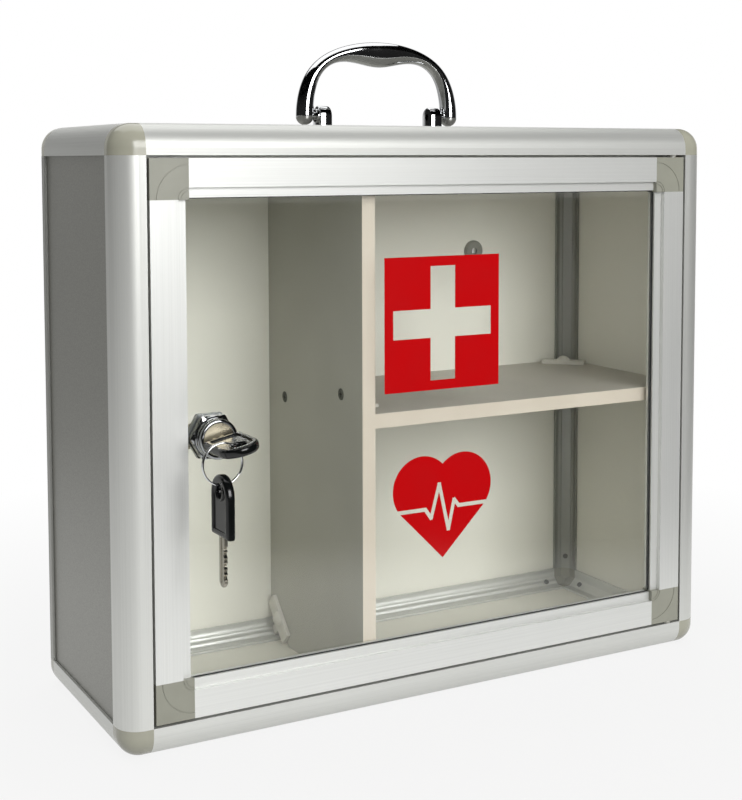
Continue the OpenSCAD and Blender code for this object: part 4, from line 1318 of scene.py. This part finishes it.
@dataclass(frozen=True)
class Lamp:
    """One square soft lamp that looks at the middle of the cabinet. Place and side in metres."""

    name: str
    spot: tuple[float, float, float]
    side: float
    watts: float
    aim: tuple[float, float, float] = (0.0, 0.0, 0.17)

    def hang(self) -> None:
        """Hangs the lamp and turns it to the cabinet."""
        light = bpy.data.lights.new(self.name, "AREA")
        light.size = self.side
        light.energy = self.watts
        lamp = bpy.data.objects.new(self.name, light)
        bpy.context.scene.collection.objects.link(lamp)
        lamp.location = self.spot
        lamp.rotation_euler = (Vector(self.aim) - Vector(self.spot)).to_track_quat("-Z", "Y").to_euler()


@dataclass
class Studio:
    """Floor, background, lamps and the camera. Lengths of the floor in metres."""

    layout: Layout
    focal_px: float = 1413.98
    centre_px: tuple[float, float] = (371.0, 260.0)
    eye_mm: tuple[float, float, float] = (-434.97, -700.81, 320.18)
    yaw: float = 28.846
    pitch: float = 4.041
    roll: float = 0.0024
    image_px: tuple[int, int] = (742, 800)
    floor_half: float = 9.0
    floor_tone: str = "#adadab"
    # Share of plain white in the floor as the eye sees it, and the distances over which it rises.
    floor_white: tuple[float, float] = (0.86, 1.0)
    floor_fade: tuple[float, float] = (0.25, 0.6)
    # Metal sees only this part of that share.
    floor_in_metal: float = 0.8
    # How far towards the dim side metal sees a white floor, and over which length it ends.
    paper: float = 0.26
    paper_soft: float = 0.12
    dim_side: tuple[float, float, float] = (0.45, -0.89, 0.0)
    # Over these distances metal sees the floor grow dimmer on every side, by up to this share.
    dim_fade: tuple[float, float] = (0.35, 1.0)
    dim_share: float = 0.55
    # Brightness of the dim room that metal sees, and of the soft light that falls on everything.
    room: float = 0.015
    fill: float = 0.68
    # Metal sees white behind the cabinet. It comes in over the first pair, which is the cosine of the
    # angle from straight behind, and fades out over the second, which is the sine of the height.
    behind: tuple[float, float] = (0.58, 0.85)
    behind_top: tuple[float, float] = (0.15, 0.4)
    lamps: tuple[Lamp, ...] = (
        Lamp("key_light", (0.22, -2.3, 0.95), 1.3, 38),
        Lamp("top_light", (0.1, 0.75, 2.0), 2.2, 20),
    )

    def camera(self) -> None:
        """Places the camera with the lens and shift that the framing of the photo needs."""
        lens = bpy.data.cameras.new("camera")
        lens.sensor_fit = "AUTO"
        lens.sensor_width = 36.0
        lens.lens = self.focal_px / max(self.image_px) * lens.sensor_width
        lens.shift_x = (self.image_px[0] / 2 - self.centre_px[0]) / max(self.image_px)
        lens.shift_y = (self.centre_px[1] - self.image_px[1] / 2) / max(self.image_px)
        lens.clip_start = 0.01
        lens.clip_end = 60
        eye = bpy.data.objects.new("camera", lens)
        bpy.context.scene.collection.objects.link(eye)
        yaw, pitch = math.radians(self.yaw), math.radians(self.pitch)
        ahead = Vector((math.sin(yaw) * math.cos(pitch), math.cos(yaw) * math.cos(pitch), -math.sin(pitch)))
        right = Vector((math.cos(yaw), -math.sin(yaw), 0))
        up = right.cross(ahead)
        turned = right * math.cos(self.roll) - up * math.sin(self.roll)
        upright = up * math.cos(self.roll) + right * math.sin(self.roll)
        basis = Matrix((turned, upright, -ahead)).transposed().to_4x4()
        eye.matrix_world = Matrix.Translation(self.layout.at(*self.eye_mm)) @ basis
        bpy.context.scene.camera = eye

    def floor(self) -> None:
        """Lays a wide pale floor that keeps the shadow of the cabinet.

        Metal and glass see it white beside the cabinet. It dims with the distance, and most past the
        cabinet's front right, as a sheet of white paper that ends there in a dim room.
        """

        def build(form: bmesh.types.BMesh) -> None:
            """Fills the floor's mesh with a grid."""
            bmesh.ops.create_grid(form, x_segments=8, y_segments=8, size=self.floor_half)

        floor = solid("floor", build)
        made = bpy.data.materials.new("studio_floor")
        made.use_nodes = True
        tree = made.node_tree
        tree.nodes.clear()
        matt = add(tree, "ShaderNodeBsdfDiffuse", {"Color": linear(self.floor_tone)}).outputs[0]
        glow = add(tree, "ShaderNodeEmission", {"Color": (1, 1, 1, 1), "Strength": 1.0}).outputs[0]
        dim = add(tree, "ShaderNodeEmission", {"Color": (1, 1, 1, 1), "Strength": self.room}).outputs[0]
        path = add(tree, "ShaderNodeLightPath")
        glossy = path.outputs["Is Glossy Ray"]
        seen = calc(tree, "MAXIMUM", path.outputs["Is Camera Ray"], path.outputs["Is Transmission Ray"])
        seen = calc(tree, "MAXIMUM", seen, calc(tree, "MULTIPLY", glossy, self.floor_in_metal))
        where = add(tree, "ShaderNodeTexCoord").outputs["Object"]
        away = add(tree, "ShaderNodeVectorMath", {0: where}, operation="LENGTH").outputs["Value"]
        white = calc(tree, "MULTIPLY", seen, remap(tree, away, *self.floor_white, *self.floor_fade))
        lit = add(tree, "ShaderNodeMixShader", {0: white, 1: matt, 2: glow}).outputs[0]
        side = along(tree, where, self.dim_side)
        past = remap(tree, side, 0, 1, self.paper, self.paper + self.paper_soft)
        past = calc(tree, "MAXIMUM", past, remap(tree, away, 0, self.dim_share, *self.dim_fade))
        dark = calc(tree, "MULTIPLY", past, glossy)
        out = add(tree, "ShaderNodeMixShader", {0: dark, 1: lit, 2: dim}).outputs[0]
        add(tree, "ShaderNodeOutputMaterial", {"Surface": out})
        floor.data.materials.append(made)

    def world(self) -> None:
        """Sets the background: white to the eye and to glass, and a soft grey as light.

        Metal sees it white low behind the cabinet, and as a dim room everywhere else.
        """
        world = bpy.data.worlds.new("studio")
        world.use_nodes = True
        tree = world.node_tree
        tree.nodes.clear()

        def glow(strength: Any) -> Any:
            """Adds a white background of some strength and returns its socket."""
            inputs = {"Color": (1, 1, 1, 1), "Strength": strength}
            return add(tree, "ShaderNodeBackground", inputs).outputs[0]

        path = add(tree, "ShaderNodeLightPath")
        seen = calc(tree, "MAXIMUM", path.outputs["Is Camera Ray"], path.outputs["Is Transmission Ray"])
        yaw = math.radians(self.yaw)
        around = add(tree, "ShaderNodeTexCoord").outputs["Generated"]
        toward = along(tree, around, (math.sin(yaw), math.cos(yaw), 0))
        height = add(tree, "ShaderNodeSeparateXYZ", {0: around}).outputs[2]
        cone = remap(tree, toward, self.room, 1.0, *self.behind)
        cone = calc(tree, "MULTIPLY", cone, remap(tree, height, 1.0, self.room, *self.behind_top))
        lit = {0: path.outputs["Is Glossy Ray"], 1: glow(self.fill), 2: glow(cone)}
        first = add(tree, "ShaderNodeMixShader", lit).outputs[0]
        out = add(tree, "ShaderNodeMixShader", {0: seen, 1: first, 2: glow(1.0)}).outputs[0]
        add(tree, "ShaderNodeOutputWorld", {"Surface": out})
        bpy.context.scene.world = world

    def build(self) -> None:
        """Builds the studio round the cabinet."""
        self.camera()
        self.floor()
        self.world()
        for lamp in self.lamps:
            lamp.hang()
        bpy.context.scene.view_settings.view_transform = "Standard"


def main() -> None:
    """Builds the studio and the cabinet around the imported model."""
    logging.basicConfig(level=logging.INFO, format="%(message)s")
    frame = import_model()
    layout = Layout(frame)
    Studio(layout).build()
    for part in (Casing(layout), Door(layout), CarryHandle(layout), CamLock(layout), Keys(layout)):
        part.dress()
        LOG.info("%s done", type(part).__name__)


if __name__ == "__main__":
    main()
